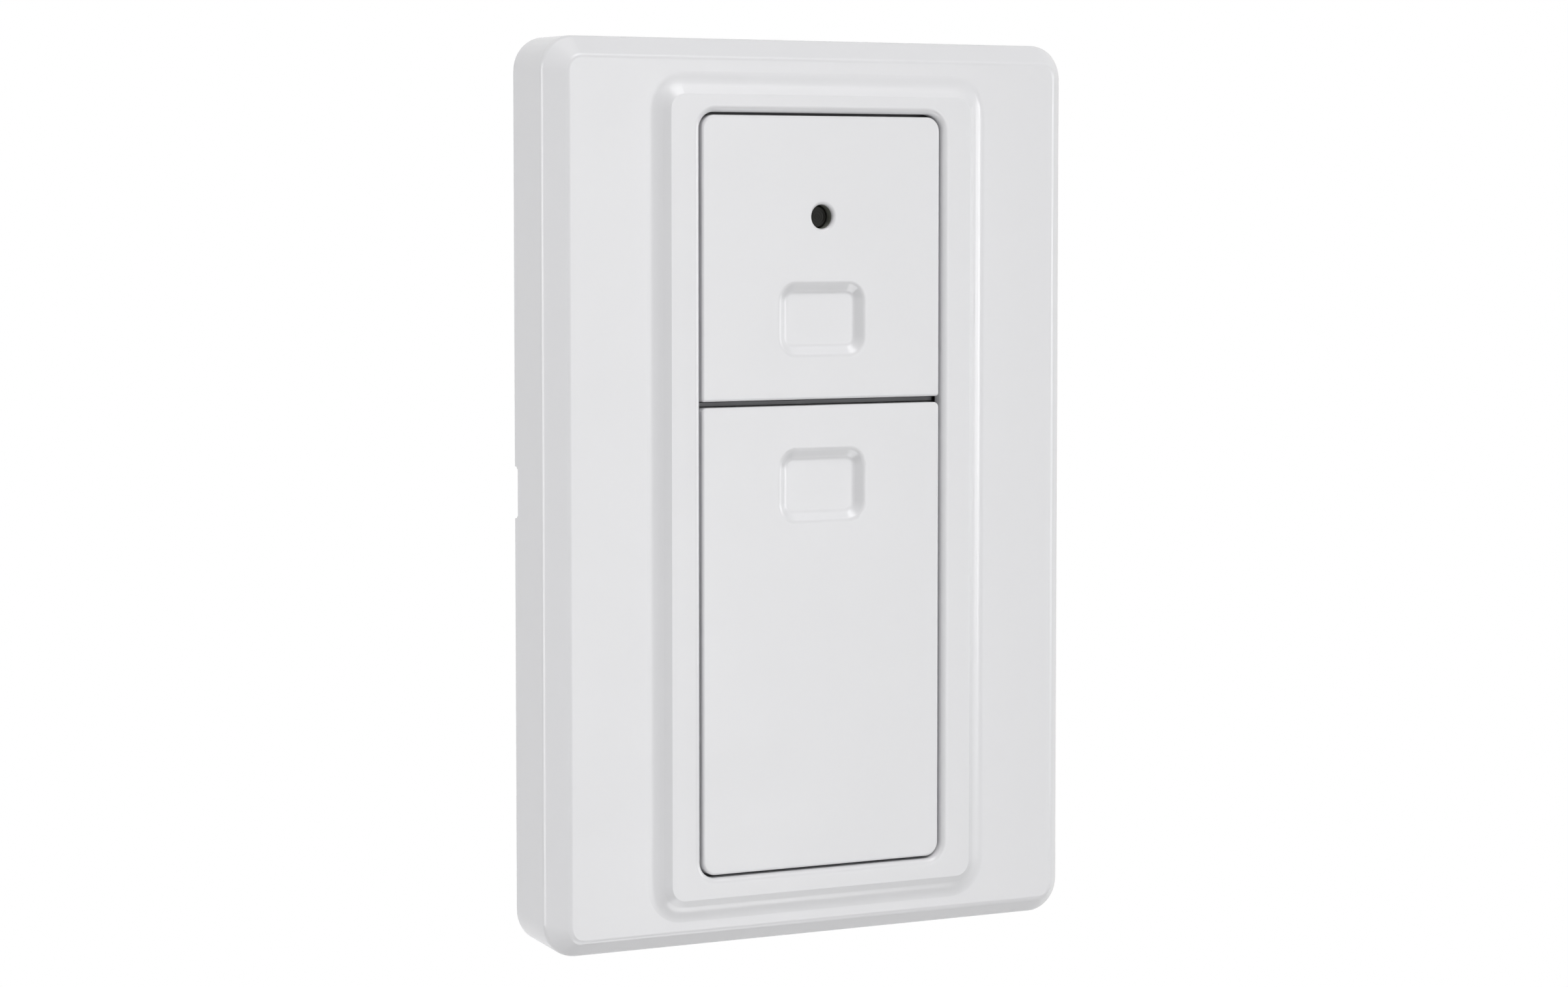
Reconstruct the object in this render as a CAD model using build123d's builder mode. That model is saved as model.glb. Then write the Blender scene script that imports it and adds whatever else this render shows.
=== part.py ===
"""Two-key wall button for a garage door opener: millimetres, +Z up, front towards -Y.

The origin is the centre of the back face, which lies flat on the wall at Y = 0. A depth is
the distance in front of the wall, so a face at depth d lies at Y = -d.
"""
import math
import os

from build123d import *

# Outer case
plate_width = 80.0
plate_corner = 4.5
foot_draft = 0.9
bevel_width = 2.6
bevel_bottom = 2.1
bevel_depth = 2.6
plateau_corner = 1.9
case_edge = 0.85
side_wall = 2.0
roof_wall = 1.8
window_top_margin = 9.7
window_bottom_margin = 9.34

# Raised surround of the window
surround_rise = 1.3
surround_side = 4.4
surround_end = 2.5
surround_drop = 0.2
surround_corner = 2.0
surround_slope = 35.0
cove_radius = 3.6
surround_edge = 0.15
surround_wall = 2.0

# Window and keys
key_width = 36.6
upper_key_height = 37.58
lower_key_height = 61.88
key_gap = 0.8
key_recess = 0.3
key_face_wall = 2.0
key_corner = 1.9
upper_gap_corner = 0.4
lower_gap_corner = 0.7
key_edge = 0.35
key_clearance = 0.35
key_travel_room = 0.8
window_edge = 0.9
skirt_wall = 1.2
skirt_length = 0.6
guard_rib = 0.5
guard_margin = 0.0

# Finger dimples
dimple_width = 13.0
dimple_height = 9.6
dimple_corner = 2.4
dimple_slope = 1.25
dimple_depth = 1.0
dimple_edge = 0.9
upper_dimple_rise = 11.05
lower_dimple_drop = 11.05

# Key hinges and stops
pin_radius = 0.75
pin_length = 2.2
pin_clearance = 0.06
pin_inset = 1.6
pin_floor = 0.1
pin_root = 1.0
saddle_width = 3.6
saddle_clearance = 0.4
saddle_thickness = 2.0
saddle_top_clearance = 0.1
stop_flange = 2.0
stop_thickness = 0.85
stop_clearance = 0.05
stop_length = 20.0
stop_inset = 2.0
pocket_clearance = 0.6
post_radius = 0.9
post_clearance = 0.05

# Wall plate
base_clearance = 0.3
base_thickness = 1.5
rim_width = 1.2
rim_height = 1.3
rim_inset = 1.0
screw_spacing = 83.3
screw_slot_radius = 2.1
screw_slot_length = 7.5
slot_pad_margin = 3.0
slot_pad_height = 0.5
locating_post_radius = 2.0
locating_post_length = 5.5
locating_post_inset_x = 6.8
locating_post_inset_z = 7.0
locating_clearance = 0.06
locating_end_clearance = 0.5
socket_wall = 1.5
socket_length = 5.6
pry_notch_height = 6.8
pry_notch_depth = 0.8
pry_notch_level = 0.6
pry_notch_chamfer = 0.4

# Inner carrier
carrier_side = 7.8
carrier_end_margin = 7.0
carrier_corner = 3.0
carrier_thickness = 1.2
carrier_screw_inset_x = 2.4
carrier_screw_inset_z = 9.0
carrier_boss_radius = 2.2
carrier_window_clearance = 0.6
bumper_length = 3.0
bumper_thickness = 0.25
bumper_inset = 5.2
light_hole_radius = 2.4

# Circuit board
board_width = 34.0
board_height = 67.0
board_top_margin = 8.3
board_corner = 1.0
board_thickness = 1.0
board_gap = 0.4
board_screw_inset_x = 3.5
board_screw_inset_z = 3.0
board_boss_radius = 2.3
board_boss_rise = 0.7
screw_radius = 1.0
screw_clearance = 0.15
thread_clearance = 0.02
screw_head_radius = 1.9
screw_head_height = 1.2
screw_socket_width = 0.5
screw_socket_depth = 0.5
carrier_screw_bite = 1.7
board_screw_bite = 1.7
screw_end_clearance = 0.2

# Push switches under the keys
switch_size = 5.2
switch_base_height = 1.4
switch_floor = 0.4
switch_well_radius = 2.1
switch_cover_thickness = 0.2
switch_cover_leg_width = 2.4
switch_cover_leg_length = 0.9
switch_plunger_radius = 1.0
switch_plunger_proud = 0.55
switch_plunger_flange = 1.8
switch_plunger_flange_thickness = 0.28
switch_fit = 0.06
dome_radius = 1.8
dome_crown_radius = 0.9
dome_height = 0.28
dome_thickness = 0.1
terminal_width = 0.6
terminal_reach = 0.8
terminal_thickness = 0.15
terminal_offset = 1.85

# Indicator lamp
lamp_drop = 13.34
lamp_hole_radius = 1.6
lamp_hole_edge = 0.5
shroud_radius = 2.3
shroud_length = 1.45
lamp_radius = 1.5
lamp_nose = 0.2
lamp_length = 3.55
lamp_flange_radius = 1.95
lamp_flange_thickness = 0.4
lead_spacing = 2.54
lead_size = 0.5
lead_hole_radius = 0.45
lead_length = 0.7

# Coin cell and its clip
cell_radius = 10.0
cell_height = 3.2
cell_rise = 14.0
cell_rim = 0.4
cap_radius = 8.6
cap_height = 0.35
contact_thickness = 0.15
contact_radius = 7.0
clip_thickness = 0.3
clip_width = 9.0
clip_clearance = 0.05
clip_back_clearance = 0.4
clip_side_clearance = 0.3
clip_foot = 1.6
clip_stop_width = 3.0
clip_stop_drop = 1.6

# Parts on the back of the board, placed from its centre
controller_size = 7.0
controller_height = 0.9
controller_x = -7.0
controller_rise = 9.5
radio_size = 4.0
radio_height = 0.8
radio_x = 5.0
radio_rise = 10.5
crystal_width = 3.2
crystal_length = 5.0
crystal_height = 0.8
crystal_x = 5.0
crystal_rise = 2.5
chip_length = 1.6
chip_width = 0.8
chip_height = 0.8
capacitor_pitch = 2.2
capacitor_x = -7.0
capacitor_rise = 2.0
resistor_height = 0.45
resistor_pitch = 2.2
resistor_x = 5.0
resistor_rise = 17.5
antenna_radius = 0.4
antenna_inset = 2.5
antenna_drop = 5.5
antenna_length = 28.0
antenna_rise = 2.0
antenna_bend = 1.0
learn_size = 6.0
learn_height = 2.3
learn_x = -9.5
learn_cover = 0.2
learn_plunger_radius = 1.7
learn_plunger_proud = 1.0
learn_flange = 0.5
learn_flange_thickness = 0.4
learn_travel_room = 0.5
learn_access_radius = 2.4

# Depths, from the wall plate outwards
clip_back = base_thickness + clip_back_clearance
clip_front = clip_back + clip_thickness
cell_back = clip_front + clip_clearance
cell_front = cell_back + cell_height
board_back = cell_front + contact_thickness
board_front = board_back + board_thickness
carrier_depth = board_front + board_gap
carrier_front = carrier_depth + carrier_thickness
skirt_depth = carrier_front + key_travel_room
key_under = skirt_depth + skirt_length
key_depth = key_under + key_face_wall
surround_depth = key_depth + key_recess
plateau_depth = surround_depth - surround_rise
side_depth = plateau_depth - bevel_depth
roof_depth = plateau_depth - roof_wall
pocket_depth = surround_depth - surround_wall
pin_depth = carrier_front + pin_floor + pin_radius
switch_top = board_front + switch_base_height + switch_cover_thickness
plunger_top = switch_top + switch_plunger_proud
stop_front = pocket_depth - stop_clearance
stop_back = stop_front - stop_thickness
learn_top = board_back - learn_height - learn_cover

# Levels of the keys and the window, from the plate's top edge down
key_stack = upper_key_height + key_gap + lower_key_height
plate_height = window_top_margin + key_stack + 2 * key_clearance + window_bottom_margin
upper_key_top = plate_height / 2 - window_top_margin - key_clearance
upper_key_bottom = upper_key_top - upper_key_height
gap_height = upper_key_bottom - key_gap / 2
lower_key_top = upper_key_bottom - key_gap
lower_key_bottom = lower_key_top - lower_key_height
upper_key_mid = (upper_key_bottom + upper_key_top) / 2
lower_key_mid = (lower_key_bottom + lower_key_top) / 2
upper_pin_level = upper_key_top - pin_inset
lower_pin_level = lower_key_bottom + pin_inset
upper_dimple_height = gap_height + upper_dimple_rise
lower_dimple_height = gap_height - lower_dimple_drop
lamp_level = upper_key_top - lamp_drop

window_width = key_width + 2 * key_clearance
window_height = key_stack + 2 * key_clearance
window_mid = (upper_key_top + lower_key_bottom) / 2
window_corner = key_corner + key_clearance
surround_flat_width = window_width + 2 * surround_side
surround_flat_height = window_height + 2 * surround_end
surround_mid = window_mid - surround_drop
slope_run = surround_rise / math.tan(math.radians(surround_slope))
pocket_width = key_width + 2 * (stop_flange + pocket_clearance)
pocket_height = window_height + 2 * pocket_clearance

plateau_width = plate_width - 2 * bevel_width
plateau_height = plate_height - bevel_width - bevel_bottom
plateau_mid = (bevel_bottom - bevel_width) / 2
cavity_width = plate_width - 2 * side_wall
cavity_height = plate_height - 2 * side_wall
cavity_corner = plate_corner - side_wall

# The cove at the foot of the surround stops short of the plateau's rounded edge
cove_room_side = (plateau_width - surround_flat_width) / 2 - slope_run - case_edge
cove_room_end = (plateau_height - surround_flat_height) / 2 - slope_run - case_edge
cove_room = min(cove_room_side, cove_room_end) - abs(surround_mid - plateau_mid)
cove_fit = min(cove_radius, cove_room / math.tan(math.radians(surround_slope / 2)))

post_x = plate_width / 2 - locating_post_inset_x
post_z = plate_height / 2 - locating_post_inset_z
socket_radius = locating_post_radius + locating_clearance + socket_wall
socket_end = roof_depth - socket_length
post_end = base_thickness + locating_post_length

carrier_width = key_width + 2 * carrier_side
carrier_height = plate_height - 2 * carrier_end_margin
carrier_screw_x = carrier_width / 2 - carrier_screw_inset_x
carrier_screw_z = carrier_height / 2 - carrier_screw_inset_z
bumper_x = key_width / 2 - bumper_inset
board_level = lamp_level + board_top_margin - board_height / 2
board_screw_x = board_width / 2 - board_screw_inset_x
board_screw_top = board_level + board_height / 2 - board_screw_inset_z
board_screw_bottom = board_level - board_height / 2 + board_screw_inset_z
board_screw_points = [
    (board_screw_x, board_screw_top),
    (-board_screw_x, board_screw_top),
    (board_screw_x, board_screw_bottom),
    (-board_screw_x, board_screw_bottom),
]
carrier_screw_length = carrier_thickness + carrier_screw_bite
board_screw_length = board_thickness + board_screw_bite
cell_level = board_level - board_height / 2 + cell_rise
clip_inner = cell_radius + clip_side_clearance
clip_outer = clip_inner + clip_thickness
controller_z = board_level + controller_rise
radio_z = board_level + radio_rise
crystal_z = board_level + crystal_rise
capacitor_z = board_level + capacitor_rise
resistor_z = board_level + resistor_rise
antenna_x = board_width / 2 - antenna_inset
antenna_bottom = board_level - antenna_drop
antenna_top = antenna_bottom + antenna_length
learn_z = lamp_level


def at_depth(depth):
    """Plane parallel to the wall, this far in front of it, looking at the front."""
    return Plane.XZ.offset(depth)


def at_side(x):
    """Plane square to the hinge pins, at this distance to the right of centre."""
    return Plane.YZ.offset(x)


# Front frame: an open box with a bevelled front, a raised surround and the key window
with BuildPart() as front_frame:
    with BuildSketch(at_depth(0)):
        with Locations((0, foot_draft / 2)):
            RectangleRounded(plate_width, plate_height - foot_draft, plate_corner)
    with BuildSketch(at_depth(side_depth)):
        RectangleRounded(plate_width, plate_height, plate_corner)
    loft(ruled=True)
    with BuildSketch(at_depth(side_depth)):
        RectangleRounded(plate_width, plate_height, plate_corner)
    with BuildSketch(at_depth(plateau_depth)):
        with Locations((0, plateau_mid)):
            RectangleRounded(plateau_width, plateau_height, plateau_corner)
    loft(ruled=True)
    fillet(front_frame.edges().filter_by_position(Axis.Y, -side_depth - 0.01, -side_depth + 0.01), case_edge)
    plateau_edges = front_frame.edges().filter_by_position(
        Axis.Y, -plateau_depth - 0.01, -plateau_depth + 0.01
    )
    fillet(plateau_edges, case_edge)
    with BuildSketch(at_depth(plateau_depth)):
        with Locations((0, surround_mid)):
            RectangleRounded(
                surround_flat_width + 2 * slope_run,
                surround_flat_height + 2 * slope_run,
                surround_corner + slope_run,
            )
    with BuildSketch(at_depth(surround_depth)):
        with Locations((0, surround_mid)):
            RectangleRounded(surround_flat_width, surround_flat_height, surround_corner)
    loft(ruled=True)
    foot_reach_x = surround_flat_width / 2 + slope_run + 0.01
    foot_reach_z = surround_flat_height / 2 + slope_run + abs(surround_mid) + 0.01
    foot_edges = (
        front_frame.edges()
        .filter_by_position(Axis.Y, -plateau_depth - 0.01, -plateau_depth + 0.01)
        .filter_by_position(Axis.X, -foot_reach_x, foot_reach_x)
        .filter_by_position(Axis.Z, -foot_reach_z, foot_reach_z)
    )
    fillet(foot_edges, cove_fit)
    crest_edges = front_frame.edges().filter_by_position(
        Axis.Y, -surround_depth - 0.01, -surround_depth + 0.01
    )
    fillet(crest_edges, surround_edge)

    # Hollow inside, with the four sockets that grip the wall plate's posts
    with BuildSketch(at_depth(0)):
        RectangleRounded(cavity_width, cavity_height, cavity_corner)
    extrude(amount=roof_depth, mode=Mode.SUBTRACT)
    with BuildSketch(at_depth(socket_end)):
        with GridLocations(2 * post_x, 2 * post_z, 2, 2):
            Circle(socket_radius)
    extrude(amount=roof_depth - socket_end)
    with BuildSketch(at_depth(socket_end)):
        with GridLocations(2 * post_x, 2 * post_z, 2, 2):
            Circle(locating_post_radius + locating_clearance)
    extrude(amount=post_end + locating_end_clearance - socket_end, mode=Mode.SUBTRACT)

    # Bosses for the carrier's screws
    with BuildSketch(at_depth(carrier_front)):
        with GridLocations(2 * carrier_screw_x, 2 * carrier_screw_z, 2, 2):
            Circle(carrier_boss_radius)
    extrude(amount=roof_depth - carrier_front)
    with BuildSketch(at_depth(carrier_front)):
        with GridLocations(2 * carrier_screw_x, 2 * carrier_screw_z, 2, 2):
            Circle(screw_radius + thread_clearance)
    extrude(amount=carrier_screw_bite + screw_end_clearance, mode=Mode.SUBTRACT)

    # Window through the front, with the pocket that clears the keys' flanges
    with BuildSketch(at_depth(roof_depth)):
        with Locations((0, window_mid)):
            Rectangle(pocket_width, pocket_height)
    extrude(amount=pocket_depth - roof_depth, mode=Mode.SUBTRACT)
    with BuildSketch(at_depth(pocket_depth)):
        with Locations((0, window_mid)):
            RectangleRounded(window_width, window_height, window_corner)
    extrude(amount=surround_wall, mode=Mode.SUBTRACT)
    window_edges = front_frame.edges(Select.LAST).filter_by_position(
        Axis.Y, -surround_depth - 0.01, -surround_depth + 0.01
    )
    fillet(window_edges, window_edge)

    # Notch in the left side's back edge, for the tip of a screwdriver
    with BuildSketch(at_side(-plate_width / 2)) as notch:
        with Locations((0, pry_notch_level)):
            Rectangle(2 * pry_notch_depth, pry_notch_height)
        chamfer(notch.vertices().group_by(Axis.X)[0], pry_notch_chamfer)
    extrude(amount=side_wall, mode=Mode.SUBTRACT)
front_frame.part.label = "front_frame"

# Upper key, hinged at its top edge and pressed at its lower edge
with BuildPart() as upper_button:
    with BuildSketch(at_depth(skirt_depth)) as outline:
        with Locations((0, upper_key_mid)):
            Rectangle(key_width, upper_key_height)
        fillet(outline.vertices().group_by(Axis.Y)[-1], key_corner)
        fillet(outline.vertices().group_by(Axis.Y)[0], upper_gap_corner)
    extrude(amount=key_depth - skirt_depth)
    fillet(upper_button.faces().sort_by(Axis.Y)[0].edges(), key_edge)
    with BuildSketch(at_depth(skirt_depth)):
        with Locations((0, upper_key_mid)):
            RectangleRounded(
                key_width - 2 * skirt_wall, upper_key_height - 2 * skirt_wall, key_corner - skirt_wall
            )
    extrude(amount=skirt_length, mode=Mode.SUBTRACT)

    # Dimple for the finger
    with BuildSketch(at_depth(key_depth)):
        with Locations((0, upper_dimple_height)):
            RectangleRounded(dimple_width, dimple_height, dimple_corner)
    with BuildSketch(at_depth(key_depth - dimple_depth)):
        with Locations((0, upper_dimple_height)):
            RectangleRounded(
                dimple_width - 2 * dimple_slope,
                dimple_height - 2 * dimple_slope,
                dimple_corner - dimple_slope,
            )
    loft(ruled=True, mode=Mode.SUBTRACT)
    dimple_edges = upper_button.edges(Select.LAST)
    rim_edges = dimple_edges.filter_by_position(Axis.Y, -key_depth - 0.01, -key_depth + 0.01)
    floor_edges = dimple_edges.filter_by_position(
        Axis.Y, -key_depth + dimple_depth - 0.01, -key_depth + dimple_depth + 0.01
    )
    fillet(rim_edges + floor_edges, dimple_edge)

    # Hole for the lamp, counterbored from behind for its shroud
    with BuildSketch(at_depth(key_under)):
        with Locations((0, lamp_level)):
            Circle(lamp_hole_radius)
    extrude(amount=key_face_wall, mode=Mode.SUBTRACT)
    lamp_edges = upper_button.edges(Select.LAST).filter_by_position(
        Axis.Y, -key_depth - 0.01, -key_depth + 0.01
    )
    fillet(lamp_edges, lamp_hole_edge)
    with BuildSketch(at_depth(key_under)):
        with Locations((0, lamp_level)):
            Circle(shroud_radius)
    extrude(amount=shroud_length, mode=Mode.SUBTRACT)

    # Post that pushes the switch, side flanges and hinge pins
    with BuildSketch(at_depth(plunger_top + post_clearance)):
        with Locations((0, upper_dimple_height)):
            Circle(post_radius)
    extrude(amount=key_under - plunger_top - post_clearance)
    with BuildSketch(at_depth(stop_back)):
        with Locations((0, upper_key_bottom + stop_inset + stop_length / 2)):
            Rectangle(key_width + 2 * stop_flange, stop_length)
            Rectangle(key_width - skirt_wall, stop_length, mode=Mode.SUBTRACT)
    extrude(amount=stop_thickness)
    for side in (-1, 1):
        with BuildSketch(at_side(side * (key_width / 2 - pin_root))):
            with Locations((-pin_depth, upper_pin_level)):
                Circle(pin_radius)
        extrude(amount=side * (pin_root + pin_length))
upper_button.part.label = "upper_button"

# Lower key, hinged at its bottom edge and pressed at its upper edge
with BuildPart() as lower_button:
    with BuildSketch(at_depth(skirt_depth)) as outline:
        with Locations((0, lower_key_mid)):
            Rectangle(key_width, lower_key_height)
        fillet(outline.vertices().group_by(Axis.Y)[0], key_corner)
        fillet(outline.vertices().group_by(Axis.Y)[-1], lower_gap_corner)
    extrude(amount=key_depth - skirt_depth)
    fillet(lower_button.faces().sort_by(Axis.Y)[0].edges(), key_edge)
    with BuildSketch(at_depth(skirt_depth)):
        with Locations((0, lower_key_mid)):
            RectangleRounded(
                key_width - 2 * skirt_wall, lower_key_height - 2 * skirt_wall, key_corner - skirt_wall
            )
    extrude(amount=skirt_length, mode=Mode.SUBTRACT)

    # Dimple for the finger
    with BuildSketch(at_depth(key_depth)):
        with Locations((0, lower_dimple_height)):
            RectangleRounded(dimple_width, dimple_height, dimple_corner)
    with BuildSketch(at_depth(key_depth - dimple_depth)):
        with Locations((0, lower_dimple_height)):
            RectangleRounded(
                dimple_width - 2 * dimple_slope,
                dimple_height - 2 * dimple_slope,
                dimple_corner - dimple_slope,
            )
    loft(ruled=True, mode=Mode.SUBTRACT)
    dimple_edges = lower_button.edges(Select.LAST)
    rim_edges = dimple_edges.filter_by_position(Axis.Y, -key_depth - 0.01, -key_depth + 0.01)
    floor_edges = dimple_edges.filter_by_position(
        Axis.Y, -key_depth + dimple_depth - 0.01, -key_depth + dimple_depth + 0.01
    )
    fillet(rim_edges + floor_edges, dimple_edge)

    # Post that pushes the switch, side flanges and hinge pins
    with BuildSketch(at_depth(plunger_top + post_clearance)):
        with Locations((0, lower_dimple_height)):
            Circle(post_radius)
    extrude(amount=key_under - plunger_top - post_clearance)
    with BuildSketch(at_depth(stop_back)):
        with Locations((0, lower_key_top - stop_inset - stop_length / 2)):
            Rectangle(key_width + 2 * stop_flange, stop_length)
            Rectangle(key_width - skirt_wall, stop_length, mode=Mode.SUBTRACT)
    extrude(amount=stop_thickness)
    for side in (-1, 1):
        with BuildSketch(at_side(side * (key_width / 2 - pin_root))):
            with Locations((-pin_depth, lower_pin_level)):
                Circle(pin_radius)
        extrude(amount=side * (pin_root + pin_length))
lower_button.part.label = "lower_button"

# Dark shroud in the upper key's lamp hole
with BuildPart() as lamp_shroud:
    with BuildSketch(at_depth(key_under)):
        with Locations((0, lamp_level)):
            Circle(shroud_radius)
            Circle(lamp_hole_radius, mode=Mode.SUBTRACT)
    extrude(amount=shroud_length)
lamp_shroud.part.label = "lamp_shroud"

# Inner carrier: holds the keys' pins and the circuit board, screwed into the front frame
with BuildPart() as inner_carrier:
    with BuildSketch(at_depth(carrier_depth)):
        RectangleRounded(carrier_width, carrier_height, carrier_corner)
    extrude(amount=carrier_thickness)
    with BuildSketch(at_depth(carrier_front)):
        with Locations(*board_screw_points):
            Circle(board_boss_radius)
    extrude(amount=board_boss_rise)
    with BuildSketch(at_depth(carrier_front)):
        with Locations((0, gap_height)):
            Rectangle(key_width - 2 * guard_margin, guard_rib)
    extrude(amount=key_under - carrier_front)
    with BuildSketch(at_depth(board_front)):
        with Locations(*board_screw_points):
            Circle(board_boss_radius)
    extrude(amount=board_gap)
    with BuildSketch(at_depth(board_front)):
        with Locations(*board_screw_points):
            Circle(screw_radius + thread_clearance)
    extrude(amount=board_screw_bite + screw_end_clearance, mode=Mode.SUBTRACT)
    with BuildSketch(at_depth(carrier_depth)):
        with GridLocations(2 * carrier_screw_x, 2 * carrier_screw_z, 2, 2):
            Circle(screw_radius + screw_clearance)
        with Locations((0, upper_dimple_height), (0, lower_dimple_height)):
            Rectangle(
                switch_size + 2 * (switch_cover_thickness + carrier_window_clearance),
                switch_size + 2 * carrier_window_clearance,
            )
        with Locations((0, lamp_level)):
            Circle(light_hole_radius)
    extrude(amount=carrier_thickness, mode=Mode.SUBTRACT)
    for side in (-1, 1):
        for level in (upper_pin_level, lower_pin_level):
            with BuildSketch(at_depth(carrier_front)):
                with Locations((side * (key_width / 2 + saddle_clearance + saddle_thickness / 2), level)):
                    Rectangle(saddle_thickness, saddle_width)
            extrude(amount=pocket_depth - saddle_top_clearance - carrier_front)
            with BuildSketch(at_side(side * (key_width / 2 + saddle_clearance))):
                with Locations((-pin_depth, level)):
                    Circle(pin_radius + pin_clearance)
                with Locations((-pocket_depth, level)):
                    Rectangle(2 * (pocket_depth - pin_depth), 2 * (pin_radius + pin_clearance))
            extrude(amount=side * saddle_thickness, mode=Mode.SUBTRACT)
inner_carrier.part.label = "inner_carrier"

# Foam bumpers that end the keys' travel
with BuildPart() as key_bumpers:
    with BuildSketch(at_depth(carrier_front)):
        with Locations((0, upper_key_bottom + skirt_wall / 2), (0, lower_key_top - skirt_wall / 2)):
            with GridLocations(2 * bumper_x, 0, 2, 1):
                Rectangle(bumper_length, skirt_wall)
    extrude(amount=bumper_thickness)
key_bumpers.part.label = "key_bumpers"

# Wall plate with two screw slots, a stiffening rim and four locating posts
with BuildPart() as wall_plate:
    with BuildSketch(at_depth(0)):
        RectangleRounded(
            cavity_width - 2 * base_clearance,
            cavity_height - 2 * base_clearance,
            cavity_corner - base_clearance,
        )
    extrude(amount=base_thickness)
    with BuildSketch(at_depth(base_thickness)):
        Rectangle(
            cavity_width - 2 * (base_clearance + rim_inset),
            cavity_height - 2 * (base_clearance + rim_inset),
        )
        Rectangle(
            cavity_width - 2 * (base_clearance + rim_inset + rim_width),
            cavity_height - 2 * (base_clearance + rim_inset + rim_width),
            mode=Mode.SUBTRACT,
        )
    extrude(amount=rim_height)
    with BuildSketch(at_depth(base_thickness)):
        with GridLocations(2 * post_x, 2 * post_z, 2, 2):
            Circle(locating_post_radius)
    extrude(amount=locating_post_length)
    with BuildSketch(at_depth(base_thickness)):
        with GridLocations(0, screw_spacing, 1, 2):
            SlotOverall(
                screw_slot_length + 2 * slot_pad_margin,
                2 * (screw_slot_radius + slot_pad_margin),
                rotation=90,
            )
    extrude(amount=slot_pad_height)
    with BuildSketch(at_depth(0)):
        with GridLocations(0, screw_spacing, 1, 2):
            SlotOverall(screw_slot_length, 2 * screw_slot_radius, rotation=90)
    extrude(amount=base_thickness + slot_pad_height, mode=Mode.SUBTRACT)
    with BuildSketch(at_depth(0)):
        with Locations((learn_x, learn_z)):
            Circle(learn_access_radius)
    extrude(amount=base_thickness, mode=Mode.SUBTRACT)
wall_plate.part.label = "wall_plate"

# Circuit board behind the carrier
with BuildPart() as circuit_board:
    with BuildSketch(at_depth(board_back)):
        with Locations((0, board_level)):
            RectangleRounded(board_width, board_height, board_corner)
        with Locations(*board_screw_points):
            Circle(screw_radius + screw_clearance, mode=Mode.SUBTRACT)
        with Locations((0, lamp_level)):
            with GridLocations(lead_spacing, 0, 2, 1):
                Circle(lead_hole_radius, mode=Mode.SUBTRACT)
    extrude(amount=board_thickness)
circuit_board.part.label = "circuit_board"

# Screws, with a crossed slot in each head
with BuildPart() as carrier_screws:
    with BuildSketch(at_depth(carrier_depth - screw_head_height)):
        with GridLocations(2 * carrier_screw_x, 2 * carrier_screw_z, 2, 2):
            Circle(screw_head_radius)
    extrude(amount=screw_head_height)
    with BuildSketch(at_depth(carrier_depth)):
        with GridLocations(2 * carrier_screw_x, 2 * carrier_screw_z, 2, 2):
            Circle(screw_radius)
    extrude(amount=carrier_screw_length)
    with BuildSketch(at_depth(carrier_depth - screw_head_height)):
        with GridLocations(2 * carrier_screw_x, 2 * carrier_screw_z, 2, 2):
            Rectangle(screw_head_radius, screw_socket_width)
            Rectangle(screw_socket_width, screw_head_radius)
    extrude(amount=screw_socket_depth, mode=Mode.SUBTRACT)
carrier_screws.part.label = "carrier_screws"

with BuildPart() as board_screws:
    with BuildSketch(at_depth(board_back - screw_head_height)):
        with Locations(*board_screw_points):
            Circle(screw_head_radius)
    extrude(amount=screw_head_height)
    with BuildSketch(at_depth(board_back)):
        with Locations(*board_screw_points):
            Circle(screw_radius)
    extrude(amount=board_screw_length)
    with BuildSketch(at_depth(board_back - screw_head_height)):
        with Locations(*board_screw_points):
            Rectangle(screw_head_radius, screw_socket_width)
            Rectangle(screw_socket_width, screw_head_radius)
    extrude(amount=screw_socket_depth, mode=Mode.SUBTRACT)
board_screws.part.label = "board_screws"


def switch_base(level):
    """Base of a push switch at this height, open at the front."""
    with BuildPart() as base:
        with BuildSketch(at_depth(board_front)):
            with Locations((0, level)):
                Rectangle(switch_size, switch_size)
        extrude(amount=switch_base_height)
        with BuildSketch(at_depth(board_front + switch_floor)):
            with Locations((0, level)):
                Circle(switch_well_radius)
        extrude(amount=switch_base_height - switch_floor, mode=Mode.SUBTRACT)
    return base.part


def switch_cover(level):
    """Sheet metal cover of a push switch, with a leg down each side."""
    cover_back = board_front + switch_base_height
    with BuildPart() as cover:
        with BuildSketch(at_depth(cover_back)):
            with Locations((0, level)):
                Rectangle(switch_size + 2 * switch_cover_thickness, switch_cover_leg_width)
                Rectangle(switch_size, switch_size)
                Circle(switch_plunger_radius + switch_fit, mode=Mode.SUBTRACT)
        extrude(amount=switch_cover_thickness)
        with BuildSketch(at_depth(cover_back - switch_cover_leg_length)):
            with Locations((0, level)):
                Rectangle(switch_size + 2 * switch_cover_thickness, switch_cover_leg_width)
                Rectangle(switch_size, switch_cover_leg_width, mode=Mode.SUBTRACT)
        extrude(amount=switch_cover_leg_length)
    return cover.part


def switch_plunger(level):
    """Plunger of a push switch, held in by its flange under the cover."""
    flange_front = board_front + switch_base_height
    with BuildPart() as plunger:
        with BuildSketch(at_depth(flange_front - switch_plunger_flange_thickness)):
            with Locations((0, level)):
                Circle(switch_plunger_flange)
        extrude(amount=switch_plunger_flange_thickness)
        with BuildSketch(at_depth(flange_front)):
            with Locations((0, level)):
                Circle(switch_plunger_radius)
        extrude(amount=switch_cover_thickness + switch_plunger_proud)
    return plunger.part


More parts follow.
